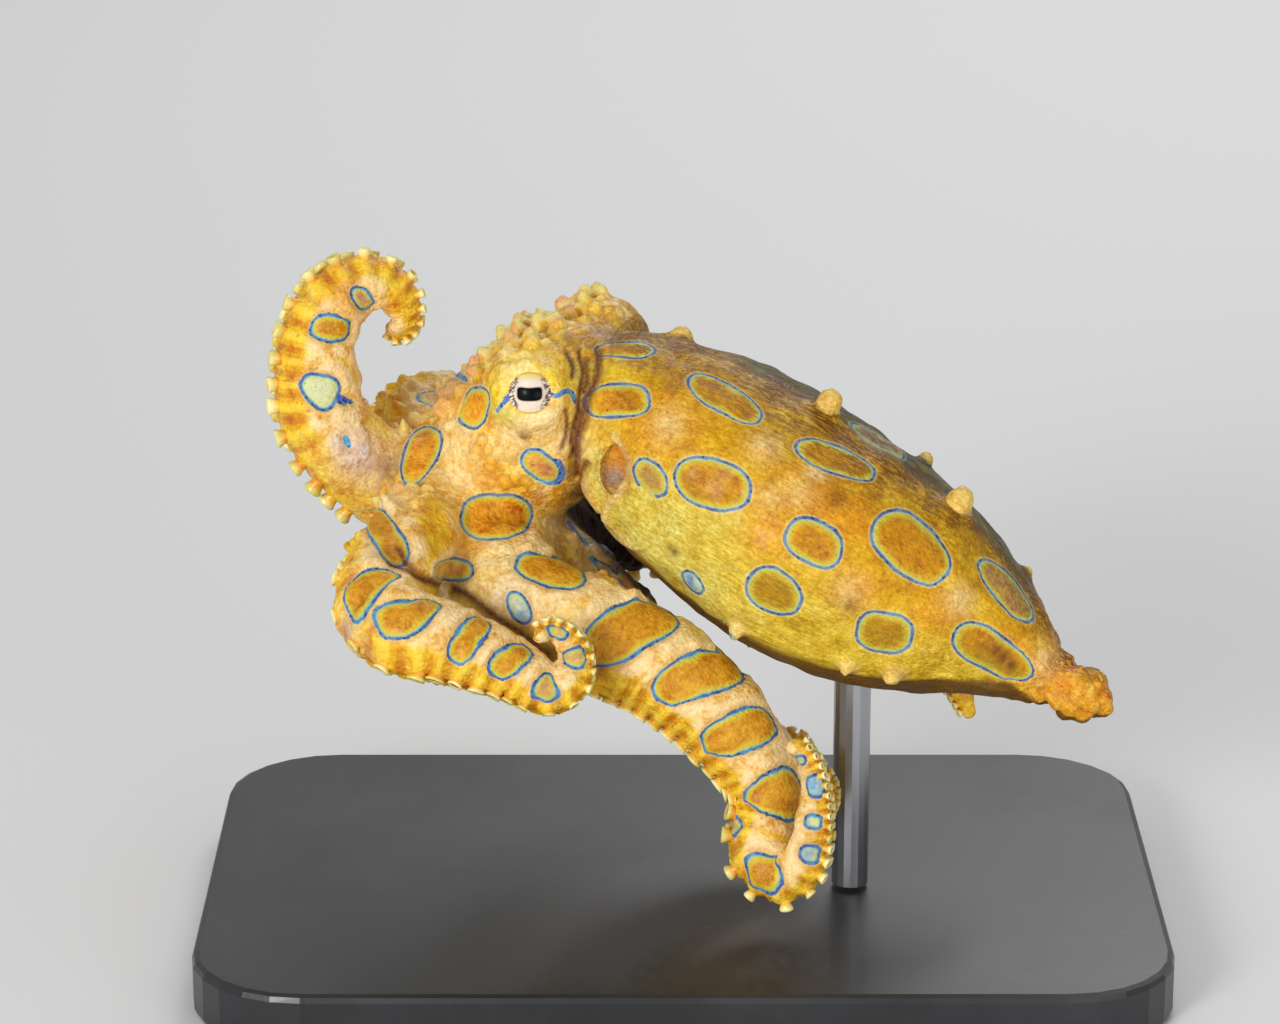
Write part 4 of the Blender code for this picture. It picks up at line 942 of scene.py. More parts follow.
    def folds(self):
        """Soft swells, lengthwise pleats of the mantle, and cushions between an arm's rings."""
        points, mantle, arm, ring = self.points, self.mantle, self.arm, self.fields["ring"]
        pleats = grain(self.flow * (0.2, 1, 1), 0.85, 2)
        self.raised += SWELL * grain(points, 3.6, 2) * (mantle + self.head)
        self.raised += PLEAT * pleats * mantle * smoothstep(-0.3, 0.5, ring)
        self.raised += CUSHION * lumps(points + 7.3, 2.6) * mantle * (1 - self.fields["belly"])
        self.raised += RIB * self.fields["rib"] * np.clip(self.arm_radius / 1.6, 0.3, 1.1)
        band = smoothstep(0.1, 0.5, ring) * smoothstep(2.4, 1.0, ring) * (1 - self.fields["sucker_side"])
        self.raised += arm * (BAND * band + WRINKLE * grain(self.flow * (1, 0.4, 0.4), 0.8, 2))
        self.raised -= RING_GROOVE * (1 + arm) * np.exp(-(ring / 0.25) ** 2)
        knobs = TIP_KNOB * lumps(points, 1.5) + TIP_GRAIN * grain(points, 0.8, 2)
        self.raised += self.fields["tip"] * knobs

    def ribs(self):
        """Cross ridges that run from each sucker up the side of its arm."""
        rib = np.zeros(len(self.points))
        for index, arm in enumerate(self.arms):
            stands = arm.sucker_shares(SUCKER_SPACING) * arm.length
            mine = self.which == index
            count = np.interp(self.run[mine], stands, np.arange(len(stands)))
            row = np.where(np.sin(self.angle[mine]) > 0, 1.0, 0.0)
            rib[mine] = np.cos((count - row) * math.pi)
        reach = 0.35 * grain(self.points, 1.4, 1)
        return (rib * self.arm * smoothstep(-0.15, 0.45, np.cos(self.angle) + reach)
                * smoothstep(-1.0, 4.0, self.run - self.free))

    def rings(self):
        ring, fill = np.full(len(self.points), REMOTE), np.zeros(len(self.points))
        seen = pixels_of(self.points)

        def add(distance, blue):
            nonlocal ring, fill
            fill = np.where(distance < ring, blue, fill)
            ring = np.minimum(ring, distance)

        for column, row, long, short, turn, squareness, narrow, blue in SEEN_RINGS:
            centre, facing = skin_at(self.tree, column, row)
            offsets = turned((seen - (column, row)) * PIXEL, turn) / (long / 2, short / 2)
            offsets = egg(offsets, narrow)
            add(ring_distance(self.points, self.normals, centre, facing, offsets, squareness), blue)
        along = mantle_axes()[2]
        for share, degrees, *halves in MANTLE_RINGS:
            centre = mantle_spot(share, degrees)
            facing = unit(mantle_spot(share, degrees, 1.0) - centre)
            add(self.flat_ring(centre, facing, along, halves), 0)
        for direction, *halves in HEAD_RINGS:
            way = unit(direction)
            origin, ahead = place([np.array(HEAD_CENTRE) + way * 30, HEAD_CENTRE])
            spot = self.tree.ray_cast(Vector(origin), Vector(ahead - origin).normalized())[0]
            add(self.flat_ring(pose_of([spot])[0], way, head_axes()[0], halves), 0)
        for index, arm in enumerate(self.arms):
            for at, degrees, long, short, turn, squareness, narrow, blue in arm_rings(arm):
                about = (self.angle - math.radians(degrees) + math.pi) % (2 * math.pi) - math.pi
                offsets = turned(np.stack([self.run - at, about * self.arm_radius], axis=1), turn)
                out = oval(egg(offsets / (long, short), narrow), squareness)
                distance = (out - 1) * np.linalg.norm(offsets, axis=1) / out
                near = (self.which == index) & (self.arm_gap < 1.6)
                add(np.where(near, distance, REMOTE), blue)
        ring += WANDER_LONG * grain(self.points, 1.7, 1) + WANDER_SHORT * grain(self.points + 5.0, 0.7, 1)
        return ring, fill

    def flat_ring(self, centre, facing, along, halves):
        """Distance to a ring that faces a given way, its long side along another."""
        along = unit(along - facing * (along @ facing))
        axes = np.stack([along, np.cross(facing, along)], axis=1)
        offsets = (self.points - centre) @ axes / halves
        return ring_distance(self.points, self.normals, centre, facing, offsets, FLAT_RING_SQUARENESS)

    def line(self, kind, half, pixels):
        """Draws a line of blue, a fold with its painted crease shade, a thin rim or the painted shade of
        the cleft behind the web.
        """
        seen = pixels_of(self.points) * PIXEL
        # Painted shade: the cleft darkens every surface that lies behind the web along its line
        if kind == "cleft":
            distance = line_distance(seen, np.array(pixels) * PIXEL)
            behind = smoothstep(-0.5, 2.0, self.points[:, 2]) * (1 - self.mantle)
            self.lay("shade", smoothstep(half + 0.5, half, distance) * behind)
            return
        route = np.array([skin_at(self.tree, *pixel)[0] for pixel in pixels])
        drawn = np.column_stack([pixels, np.zeros(len(pixels))]).astype(float) * PIXEL
        if len(route) > 2:
            route, drawn = spline(route)[0][::6], spline(drawn)[0][::6]
        distance = line_distance(seen, drawn[:, :2])
        distance = np.where(line_distance(self.points, route) < 1.5, distance, REMOTE)
        if kind == "blue":
            self.fields["ring"] = np.minimum(self.fields["ring"], np.maximum(distance - half, -0.12))
            self.lay("azure", smoothstep(half + 0.5, half + 0.2, distance))
            return
        near = np.exp(-(distance / half) ** 2)
        # A fold's brown tint is painted shade in its crease
        tint, strength, rise = FOLD_LOOKS[kind]
        self.lay(tint, strength * near)
        self.raised += rise * half * near

    def cup(self):
        axes = funnel_axes()
        local = (self.points - FUNNEL_CENTRE) @ axes.T - FUNNEL_CUP_AT
        return smoothstep(1.25, 0.9, np.linalg.norm(local / FUNNEL_CUP_HALF, axis=1))


def egg(offsets, narrow):
    """Offsets over an oval's half sizes, so that it narrows along its long side."""
    along, across = offsets.T
    return np.stack([along, across / (1 - narrow * np.clip(along, -1.5, 1.5))], axis=1)


def turned(offsets, degrees):
    """Offsets across and down the frame, seen along axes turned clockwise."""
    angle = math.radians(degrees)
    return np.stack([
        offsets[:, 0] * math.cos(angle) + offsets[:, 1] * math.sin(angle),
        -offsets[:, 0] * math.sin(angle) + offsets[:, 1] * math.cos(angle)], axis=1)


def grain(points, scale, octaves):
    """Smooth noise from -1 to 1 at points of the pose."""
    return np.array([noise.fractal(Vector(p), 0.7, 2.1, octaves) for p in points / scale])


def lumps(points, scale):
    """Round bumps set close: 1 at the middle of each, 0 between them."""
    distance = np.array([noise.voronoi(Vector(p))[0][0] for p in points / scale])
    return smoothstep(0.68, 0.12, distance)


def carve_cup(points):
    """Presses the funnel's cup into the skin."""
    axes = funnel_axes()
    local = (points - FUNNEL_CENTRE) @ axes.T - FUNNEL_CUP_AT
    flat = ((local[:, :2] / FUNNEL_CUP_HALF[:2]) ** 2).sum(1)
    floor = -FUNNEL_CUP_HALF[2] * np.sqrt(np.clip(1 - flat, 0, 1))
    inside = (flat < 1) & (local[:, 2] > floor) & (local[:, 2] < 3.0)
    local[inside, 2] = floor[inside]
    return (local + FUNNEL_CUP_AT) @ axes + FUNNEL_CENTRE


def make_skin(voxel):
    arms = [Arm(name) for name in ARMS]
    skin = join(flesh_forms(arms), "skin")
    remesh = skin.modifiers.new("one_surface", "REMESH")
    remesh.mode, remesh.voxel_size = "VOXEL", voxel
    apply_all(skin)
    mesh = skin.data
    edges = edges_of(mesh)
    points = pose_of(points_of(mesh))
    everywhere = np.ones(len(points))
    points = relax(points, edges, everywhere, *RELAX_ALL)
    _, which, run, _ = along_arms(points, arms)
    free = np.array([arm.free for arm in arms])[which]
    points = relax(points, edges, smoothstep(1.5, -2.0, run - free), *RELAX_WEB)
    points = relax(carve_cup(points), edges, everywhere, *RELAX_CUP)
    move_points(mesh, place(points))
    paint = Paint(points, normals_of(mesh), tree_of(mesh), arms)
    fields = paint.work_out()
    eye_gap = np.min([np.linalg.norm(points - centre, axis=1) for centre in EYES.values()], axis=0)
    raised = paint.raised * smoothstep(1.9, 3.2, eye_gap)
    move_points(mesh, place(points + paint.normals * raised[:, None]))
    for name in SKIN_FIELDS:
        write_field(mesh, name, fields[name])
    flow = mesh.attributes.new("flow", "FLOAT_VECTOR", "POINT")
    flow.data.foreach_set("vector", paint.flow.astype(np.float32).ravel())
    return skin


# Suckers
def sucker_cup():
    """One cup of unit rim, foot at the origin, opening upwards."""
    (low, first), *others = SUCKER_PROFILE
    bpy.ops.object.select_all(action="DESELECT")
    bpy.ops.mesh.primitive_circle_add(vertices=SUCKER_SIDES, radius=first, location=(0, 0, low))
    item = bpy.context.object
    bpy.ops.object.transform_apply(location=True)
    bpy.ops.object.mode_set(mode="EDIT")
    bpy.ops.mesh.select_all(action="SELECT")
    for rise, radius in others:
        bpy.ops.mesh.extrude_region_move(TRANSFORM_OT_translate={"value": (0, 0, rise - low)})
        size = radius / first
        bpy.ops.transform.resize(value=(size, size, 1.0), center_override=(0, 0, 0))
        low, first = rise, radius
    bpy.ops.mesh.edge_face_add()
    bpy.ops.object.mode_set(mode="OBJECT")
    turn_outwards(item)
    points = points_of(item.data)
    faces = [tuple(face.vertices) for face in item.data.polygons]
    bpy.data.objects.remove(item)
    return points, faces


def sucker_row(arm, cup, faces, draw):
    """All suckers of one arm as one mesh, in two staggered rows."""
    points, polygons, depth, shade = [], [], [], []
    for i, share in enumerate(arm.sucker_shares(SUCKER_SPACING)):
        centre, heading, outward, radius = (value[0] for value in arm.at(share))
        rim = sucker_rim(radius) * draw.uniform(0.9, 1.05)
        row = 1 if i % 2 else -1
        foot, out = (outward * math.cos(turn) + np.cross(heading, outward) * math.sin(turn) for turn in (
            row * SUCKER_ROWS + draw.uniform(-0.06, 0.06), row * SUCKER_LEAN + draw.uniform(-0.1, 0.1)))
        out = unit(out + heading * draw.uniform(-0.18, 0.18))
        side = unit(heading - out * (heading @ out))
        axes = np.array((side, np.cross(out, side), out))
        begin, end, height = SUCKER_HEIGHTS.get(arm.name, (0, 0, 1))
        run = share * arm.length
        tall = SUCKER_HEIGHT - SUCKER_HEIGHT_DROP * rim / SUCKER_MOST
        tall *= 1 + (height - 1) * smoothstep(begin - 2, begin, run) * smoothstep(end + 2, end, run)
        stretched = cup * (rim * draw.uniform(0.9, 1.05), rim, rim * tall * draw.uniform(0.92, 1.15))
        polygons += [tuple(v + len(points) * len(cup) for v in face) for face in faces]
        points.append(centre + foot * (radius - 0.06) + stretched @ axes)
        depth.append(cup[:, 2])
        shade.append(np.full(len(cup), draw.uniform()))
    mesh = bpy.data.meshes.new(f"suckers_{arm.name}")
    mesh.from_pydata(place(np.vstack(points)), [], polygons)
    write_field(mesh, "depth", np.concatenate(depth))
    write_field(mesh, "inside", np.tile(np.arange(len(cup)) // SUCKER_SIDES >= HOLLOW_STEP, len(points)))
    write_field(mesh, "shade", np.concatenate(shade))
    item = bpy.data.objects.new(mesh.name, mesh)
    bpy.context.scene.collection.objects.link(item)
    turn_outwards(item)
    return item


# Eyes and beak
def make_eye(side):
    """An eyeball, its pole along the eye's look, with the place of each point across its front."""
    look = unit(EYE_LOOKS[side])
    level = unit(np.cross(np.cross(look, (1, 0, 0)), look))
    axes = np.array((level, np.cross(look, level), look))
    marks = {}

    def shape(ball):
        flat = ball[:, :2] * EYE_RADIUS
        marks["across"], marks["up"] = flat.T
        marks["front"] = ball[:, 2] > 0
        bulge = 1.0 + EYE_BULGE * smoothstep(1.5, 0.0, np.linalg.norm(flat, axis=1)) * marks["front"]
        return np.array(EYES[side]) + (ball * EYE_RADIUS * bulge[:, None]) @ axes

    item = shaped_ball(f"eye_{side}_ball", shape, 96, 96)
    across, up = marks["across"], marks["up"] * (1 if axes[1][1] > 0 else -1)
    sag = EYE_SLOT_SAG * np.clip(1 - (across / EYE_SLOT[0]) ** 2, 0, 1)
    upper = np.where(up > 0, (up + sag) / EYE_SLOT[1], up / EYE_SLOT[1])
    slot = oval(np.stack([across / EYE_SLOT[0], upper], axis=1), EYE_SLOT_SQUARENESS)
    write_field(item.data, "eye_across", across)
    write_field(item.data, "eye_up", up)
    write_field(item.data, "slot", np.where(marks["front"], slot, 5.0))
    return item


def make_beak():
    """Two hooked halves of a beak that meet inside the lips."""
    forward, up, left = head_axes()
    centre = np.array(CROWN_CENTRE) + forward * (CROWN_HALF_DEPTH - 0.5)

    def half(sign, reach, size):
        def shape(ball):
            ahead, high, side = ball.T
            hook = np.clip(ahead, 0, 1) ** 2
            point = 1 - 0.75 * hook
            lift = sign * (0.42 - 0.5 * hook)
            local = np.stack([
                ahead * reach, lift + high * 0.62 * point * size, side * 0.95 * point * size], axis=1)
            return centre + local * MOUTH_RADIUS @ np.array((forward, up, left))
        return shape

    return join([shaped_ball("upper", half(1, 1.25, 0.95), 32, 24),
                 shaped_ball("lower", half(-1, 1.05, 1.0), 32, 24)], "beak")


# Finishes
class Finish:
    """A material under construction: each call adds a node and gives its output."""

    def __init__(self, name):
        self.material = bpy.data.materials.new(name)
        self.material.use_nodes = True
        self.tree = self.material.node_tree
        self.shader = self.tree.nodes["Principled BSDF"]
        self.where = self.add("ShaderNodeTexCoord").outputs["Object"]

    def add(self, kind, inputs=None, **settings):
        made = self.tree.nodes.new(kind)
        for key, value in settings.items():
            setattr(made, key, value)
        for key, value in (inputs or {}).items():
            self.feed(made.inputs[key], value)
        return made

    def feed(self, socket, value):
        if isinstance(value, bpy.types.NodeSocket):
            self.tree.links.new(value, socket)
        else:
            socket.default_value = value

    def field(self, name, output="Fac"):
        return self.add("ShaderNodeAttribute", attribute_name=name).outputs[output]

    def maths(self, operation, a, b=0.0):
        return self.add("ShaderNodeMath", {0: a, 1: b}, operation=operation).outputs[0]

    def times(self, product, *others):
        for other in others:
            product = self.maths("MULTIPLY", product, other)
        return product

    def plus(self, a, b):
        return self.maths("ADD", a, b)

    def most(self, a, b):
        return self.maths("MAXIMUM", a, b)

    def noise(self, scale, detail=3.0, roughness=0.6, where=None, bend=0.0):
        return self.add("ShaderNodeTexNoise", {
            "Vector": where or self.where, "Scale": scale, "Detail": detail, "Roughness": roughness,
            "Distortion": bend}).outputs["Fac"]

    def cells(self, scale, where=None):
        return self.add("ShaderNodeTexVoronoi", {
            "Vector": where or self.where, "Scale": scale}).outputs["Distance"]

    def stretched(self, where, size):
        return self.add("ShaderNodeMapping", {"Vector": where, "Scale": size}).outputs["Vector"]

    def threads(self, where, size, width):
        """Fine wavy lines: the places where a stretched noise passes its middle."""
        waves = self.noise(1.0, 3, 0.55, where=self.stretched(where, size), bend=0.3)
        return self.between(self.maths("ABSOLUTE", self.plus(waves, -0.5)), width, 0.0)

    def dots(self, scale, radius):
        """Small round dots, one in each cell."""
        return self.between(self.cells(scale), radius, radius * 0.5)

    def between(self, value, low, high, start=0.0, end=1.0):
        return self.add("ShaderNodeMapRange", {
            "Value": value, "From Min": low, "From Max": high, "To Min": start, "To Max": end},
            interpolation_type="SMOOTHSTEP").outputs["Result"]

    def band(self, value, rise, fall):
        """1 between two soft edges, each given by where it begins and ends."""
        return self.times(self.between(value, *rise), self.between(value, *fall))

    def blend(self, a, b, share):
        return self.plus(self.times(a, share), self.times(b, 1 - share))

    def mix(self, share, a, b):
        return self.add("ShaderNodeMix", {0: share, 6: a, 7: b}, data_type="RGBA").outputs[2]

    def ramp(self, value, *stops):
        """Colours along a value: each stop is its place and its screen colour."""
        made = self.add("ShaderNodeValToRGB", {"Fac": value})
        elements = made.color_ramp.elements
        while len(elements) < len(stops):
            elements.new(0.5)
        for element, (at, *colour) in zip(elements, stops):
            element.position, element.color = at, srgb(*colour)
        return made.outputs["Color"]

    def bump(self, height, distance, strength):
        return self.add("ShaderNodeBump", {
            "Height": height, "Distance": distance, "Strength": strength}).outputs["Normal"]

    def set(self, **values):
        for name, value in values.items():
            self.feed(self.shader.inputs[name.replace("_", " ")], value)
        return self.material


def skin_finish():
    """Mottled orange-yellow skin with its blue rings, folds and pale patches, and painted shade on the
    belly, along the ridge, in the folds and in the cleft.
    """
    f = Finish("octopus_skin")
    big, mid = f.noise(230, 3, 0.6), f.noise(760, 4, 0.62)
    fine = f.noise(2800, 3, 0.7)
    flow = f.field("flow", "Vector")
    mantle, arm, back, flank = (f.field(name) for name in ("mantle", "arm", "back", "flank"))

    colour = f.mix(mantle, head_colours(f, mid, fine), mantle_colours(f, big, mid, fine, back, flank))
    colour = f.mix(arm, colour, arm_colours(f, mid, fine))
    colour = f.mix(f.field("cup"), colour, f.mix(mid, srgb(176, 92, 14), srgb(216, 142, 34)))
    for name, strength, dark, light in (
        ("orange", 0.7, srgb(214, 118, 8), srgb(246, 172, 34)),
        ("lime", 0.8, srgb(150, 170, 30), srgb(206, 214, 70)),
        ("yellow", 0.9, srgb(226, 178, 10), srgb(255, 226, 50)),
        ("green", 0.9, srgb(202, 188, 66), srgb(240, 232, 136)),
        ("cream", 0.95, srgb(240, 194, 104), srgb(255, 242, 196)),
        ("lilac", 0.85, srgb(170, 146, 146), srgb(222, 202, 196)),
    ):
        patch = f.times(f.field(name), f.between(mid, 0.25, 0.6, 0.55, 1.0))
        colour = f.mix(f.times(patch, strength), colour, f.mix(f.between(fine, 0.3, 0.7), dark, light))

    colour = ring_colours(f, colour, mid, fine, mantle, arm)
    strength = f.times(mantle, f.plus(0.2, f.plus(f.times(back, 0.9), f.times(flank, 0.12))))
    strength = f.times(strength, f.between(big, 0.3, 0.6, 0.5, 1.0))
    streaks = f.most(f.threads(flow, (0.26, 1.7, 1.7), 0.05), f.threads(flow, (0.4, 3.2, 3.2), 0.045))
    off_line = f.between(f.maths("ABSOLUTE", f.field("ring")), 0.15, 0.35)
    colour = f.mix(f.times(streaks, strength, off_line), colour, srgb(104, 62, 14))
    grains = f.times(f.dots(1900, 0.26), f.between(f.noise(420, 2), 0.5, 0.62),
                     f.maths("SUBTRACT", 1.0, mantle), f.between(f.field("ring"), 0.2, 0.5))
    colour = f.mix(f.times(grains, 0.5), colour, srgb(255, 238, 180))
    wrinkles = f.times(f.threads(flow, (1.5, 0.35, 0.35), 0.05), f.times(arm, 0.14))
    colour = f.mix(f.times(wrinkles, off_line), colour, srgb(150, 92, 40))
    dots = f.times(f.dots(1900, 0.16), f.between(big, 0.42, 0.6))
    colour = f.mix(f.times(dots, 0.6), colour, srgb(104, 56, 18))

    # Brown patches: brown skin, and painted shade where they lie between the head and the funnel and along
    # the folds
    brown = f.times(f.field("brown"), f.between(mid, 0.2, 0.55, 0.6, 1.0))
    colour = f.mix(brown, colour, f.mix(fine, srgb(58, 22, 8), srgb(124, 60, 24)))
    # Painted shade: the dark brown of the belly stands in for its shaded underside
    colour = f.mix(f.times(f.field("belly"), 0.9), colour, f.mix(mid, srgb(66, 34, 14), srgb(124, 78, 34)))
    # Painted shade: the cleft behind the web and the dark spots by the funnel
    colour = f.mix(f.field("shade"), colour, srgb(34, 16, 9))

    pebbles = f.cells(3600)
    height = f.plus(f.times(pebbles, -0.6), f.plus(f.times(fine, 0.3), f.times(grains, 0.5)))
    height = f.plus(height, f.times(streaks, strength, -0.6))
    f.set(Base_Color=colour, Normal=f.bump(height, 0.00013, 0.9),
          Roughness=f.between(mid, 0.2, 0.8, 0.36, 0.52), Subsurface_Weight=0.1,
          Subsurface_Scale=0.0007, Subsurface_Radius=(1.0, 0.5, 0.25),
          Coat_Weight=0.08, Coat_Roughness=0.2, Specular_IOR_Level=0.2)
    return f.material


def mantle_colours(f, big, mid, fine, back, flank):
    """Golden skin, browner along the back, olive on its flanks, dark olive and teal along its ridge as
    painted shade of the back's far side, orange at the tip.
    """
    tone = f.blend(mid, fine, 0.6)
    colour = f.ramp(tone, (0.32, 166, 104, 2), (0.44, 204, 146, 4),
                    (0.56, 222, 176, 16), (0.7, 246, 214, 74))
    colour = f.mix(f.times(f.between(big, 0.5, 0.66), 0.4), colour, srgb(226, 138, 8))
    dorsal = f.ramp(tone, (0.32, 76, 50, 8), (0.46, 142, 98, 12),
                    (0.6, 188, 142, 26), (0.74, 230, 190, 80))
    colour = f.mix(f.times(back, f.between(big, 0.3, 0.55, 0.45, 0.9)), colour, dorsal)
    # Painted shade: dark olive with teal patches along the ridge, for the shaded far side of the back
    olive = f.ramp(tone, (0.36, 40, 46, 14), (0.5, 84, 88, 26), (0.62, 134, 126, 46))
    olive = f.mix(f.between(f.noise(500, 2), 0.56, 0.64), olive, srgb(44, 112, 118))
    colour = f.mix(f.times(f.field("ridge"), f.between(mid, 0.3, 0.5, 0.6, 0.95)), colour, olive)
    ventral = f.ramp(tone, (0.32, 184, 146, 20), (0.46, 222, 188, 44),
                     (0.58, 240, 212, 80), (0.7, 250, 232, 140))
    colour = f.mix(f.times(flank, 0.8), colour, ventral)
    tip = f.ramp(tone, (0.34, 206, 108, 12), (0.48, 240, 164, 34), (0.62, 253, 212, 96))
    return f.mix(f.times(f.field("tip"), 0.8), colour, tip)


def head_colours(f, mid, fine):
    """Pale gold and orange, with cream, pink and green warts that stand in browner skin."""
    tone = f.blend(mid, fine, 0.65)
    colour = f.ramp(tone, (0.33, 232, 146, 20), (0.43, 245, 184, 44),
                    (0.54, 250, 206, 78), (0.67, 255, 230, 136))
    dorsal = f.mix(f.between(mid, 0.35, 0.6), srgb(130, 84, 42), srgb(212, 164, 84))
    colour = f.mix(f.times(f.field("back"), 0.55), colour, dorsal)
    patches = f.between(f.noise(560, 4, 0.6), 0.54, 0.62)
    colour = f.mix(f.times(patches, 0.55), colour, srgb(255, 238, 178))
    wart = f.field("wart")
    pits = f.band(wart, (0.3, 0.02), (0.0, 0.02))
    colour = f.mix(f.times(pits, 0.5), colour, srgb(140, 80, 30))
    tops = f.mix(f.between(f.noise(420, 2), 0.42, 0.55), srgb(226, 164, 112), srgb(236, 222, 134))
    return f.mix(f.times(f.between(wart, 0.3, 0.65), 0.8), colour, tops)


def arm_colours(f, mid, fine):
    """Golden flesh with pale bands between its rings and ribs that lead to the suckers."""
    tone = f.blend(mid, fine, 0.65)
    colour = f.ramp(tone, (0.33, 184, 104, 12), (0.44, 224, 162, 24),
                    (0.55, 240, 196, 44), (0.68, 252, 226, 110))
    ring, side, rib = f.field("ring"), f.field("sucker_side"), f.field("rib")
    pale = f.times(f.band(ring, (0.12, 0.3), (1.7, 0.9)), f.between(side, 0.6, 0.1),
                   f.between(mid, 0.36, 0.56, 0.2, 1.0))
    colour = f.mix(f.times(pale, 0.8), colour, f.mix(fine, srgb(246, 196, 116), srgb(255, 242, 206)))
    rust = f.times(f.between(ring, 0.55, 0.12), f.between(f.plus(mid, f.times(side, 0.2)), 0.45, 0.6))
    colour = f.mix(f.times(rust, 0.6), colour, srgb(208, 116, 30))
    grooves = f.times(f.between(rib, -0.35, -0.85), f.between(mid, 0.7, 0.4, 0.5, 1.0))
    colour = f.mix(f.times(grooves, 0.65), colour, srgb(194, 100, 24))
    return f.mix(f.times(f.between(rib, 0.15, 0.75), 0.6), colour, srgb(254, 214, 70))


def ring_colours(f, colour, mid, fine, mantle, arm):
    """Draws the rings: dotted blue line, pale glow inside it, yellow margin and mottled fill."""
    ring = f.plus(f.field("ring"), f.times(f.plus(fine, -0.5), 0.14))
    closed = f.between(f.field("gap"), 0.6, 0.3)
    tone = f.blend(mid, fine, 0.55)
    gold = f.ramp(tone, (0.34, 150, 88, 2), (0.46, 196, 130, 6), (0.6, 220, 158, 16))
    rusty = f.ramp(tone, (0.36, 168, 80, 8), (0.47, 218, 136, 20), (0.6, 242, 178, 52))
    fill = f.mix(mantle, rusty, gold)
    olive = f.mix(tone, srgb(140, 104, 8), srgb(206, 170, 36))
    fill = f.mix(f.times(f.most(f.field("flank"), f.times(arm, 0.5)), 0.7), fill, olive)
    fill = f.mix(f.times(f.field("back"), 0.65), fill, f.mix(tone, srgb(104, 80, 10), srgb(188, 150, 44)))
    blue_fill = f.maths("MINIMUM", f.field("blue_fill"), 1.0)
    sky = f.mix(f.between(mid, 0.35, 0.65), srgb(84, 158, 216), srgb(206, 222, 190))
    chalk = f.mix(fine, srgb(190, 200, 150), srgb(232, 232, 182))
    fill = f.mix(blue_fill, fill, sky)
    fill = f.mix(f.between(f.field("blue_fill"), 1.2, 1.6), fill, chalk)
    colour = f.mix(f.between(ring, -0.05, -0.2), colour, fill)
    margin = f.band(ring, (-0.75, -0.28), (0.0, -0.12))
    colour = f.mix(f.times(margin, f.plus(0.75, f.times(blue_fill, -0.5))), colour, srgb(216, 200, 62))
    halo = f.band(ring, (0.06, 0.11), (0.32, 0.14))
    colour = f.mix(f.times(halo, 0.4), colour, srgb(214, 214, 150))
    glow = f.band(ring, (-0.27, -0.15), (-0.02, -0.08))
    glow_tint = f.mix(arm, srgb(158, 200, 170), srgb(96, 182, 178))
    colour = f.mix(f.times(glow, closed, 0.8), colour, glow_tint)
    line = f.times(f.between(f.maths("ABSOLUTE", ring), 0.15, 0.075), closed)
    blotch = f.between(mid, 0.42, 0.56)
    blue = f.mix(blotch, srgb(66, 94, 146), srgb(104, 136, 172))
    blue = f.mix(arm, blue, f.mix(blotch, srgb(34, 84, 158), srgb(64, 130, 186)))
    azure = f.mix(f.between(mid, 0.4, 0.6), srgb(44, 96, 190), srgb(74, 166, 216))
    blue = f.mix(f.field("azure"), blue, azure)
    colour = f.mix(f.times(line, 0.92), colour, blue)
    edge = f.times(f.between(f.maths("ABSOLUTE", f.plus(ring, -0.03)), 0.12, 0.04), f.dots(2500, 0.42))
    return f.mix(f.times(edge, closed, 0.85), colour, srgb(34, 40, 88))


def sucker_finish():
    f = Finish("octopus_suckers")
    depth, inside, shade = f.field("depth"), f.field("inside"), f.field("shade")
    mid = f.noise(1400, 3, 0.6)
    tone = f.blend(mid, shade, 0.7)
    rim = f.mix(f.between(tone, 0.3, 0.7), srgb(216, 202, 100), srgb(252, 238, 172))
    base = f.mix(f.between(tone, 0.3, 0.7), srgb(226, 142, 18), srgb(250, 196, 48))
    colour = f.mix(f.between(depth, 0.1, 0.7), base, rim)
    colour = f.mix(f.times(inside, f.between(depth, 1.0, 0.74)), colour, srgb(176, 112, 56))
    f.set(Base_Color=colour, Roughness=0.35, Subsurface_Weight=0.2, Subsurface_Scale=0.0006,
          Subsurface_Radius=(1.0, 0.6, 0.3), Coat_Weight=0.2, Coat_Roughness=0.25,
          Normal=f.bump(f.noise(3000, 2), 0.00006, 0.6))
    return f.material


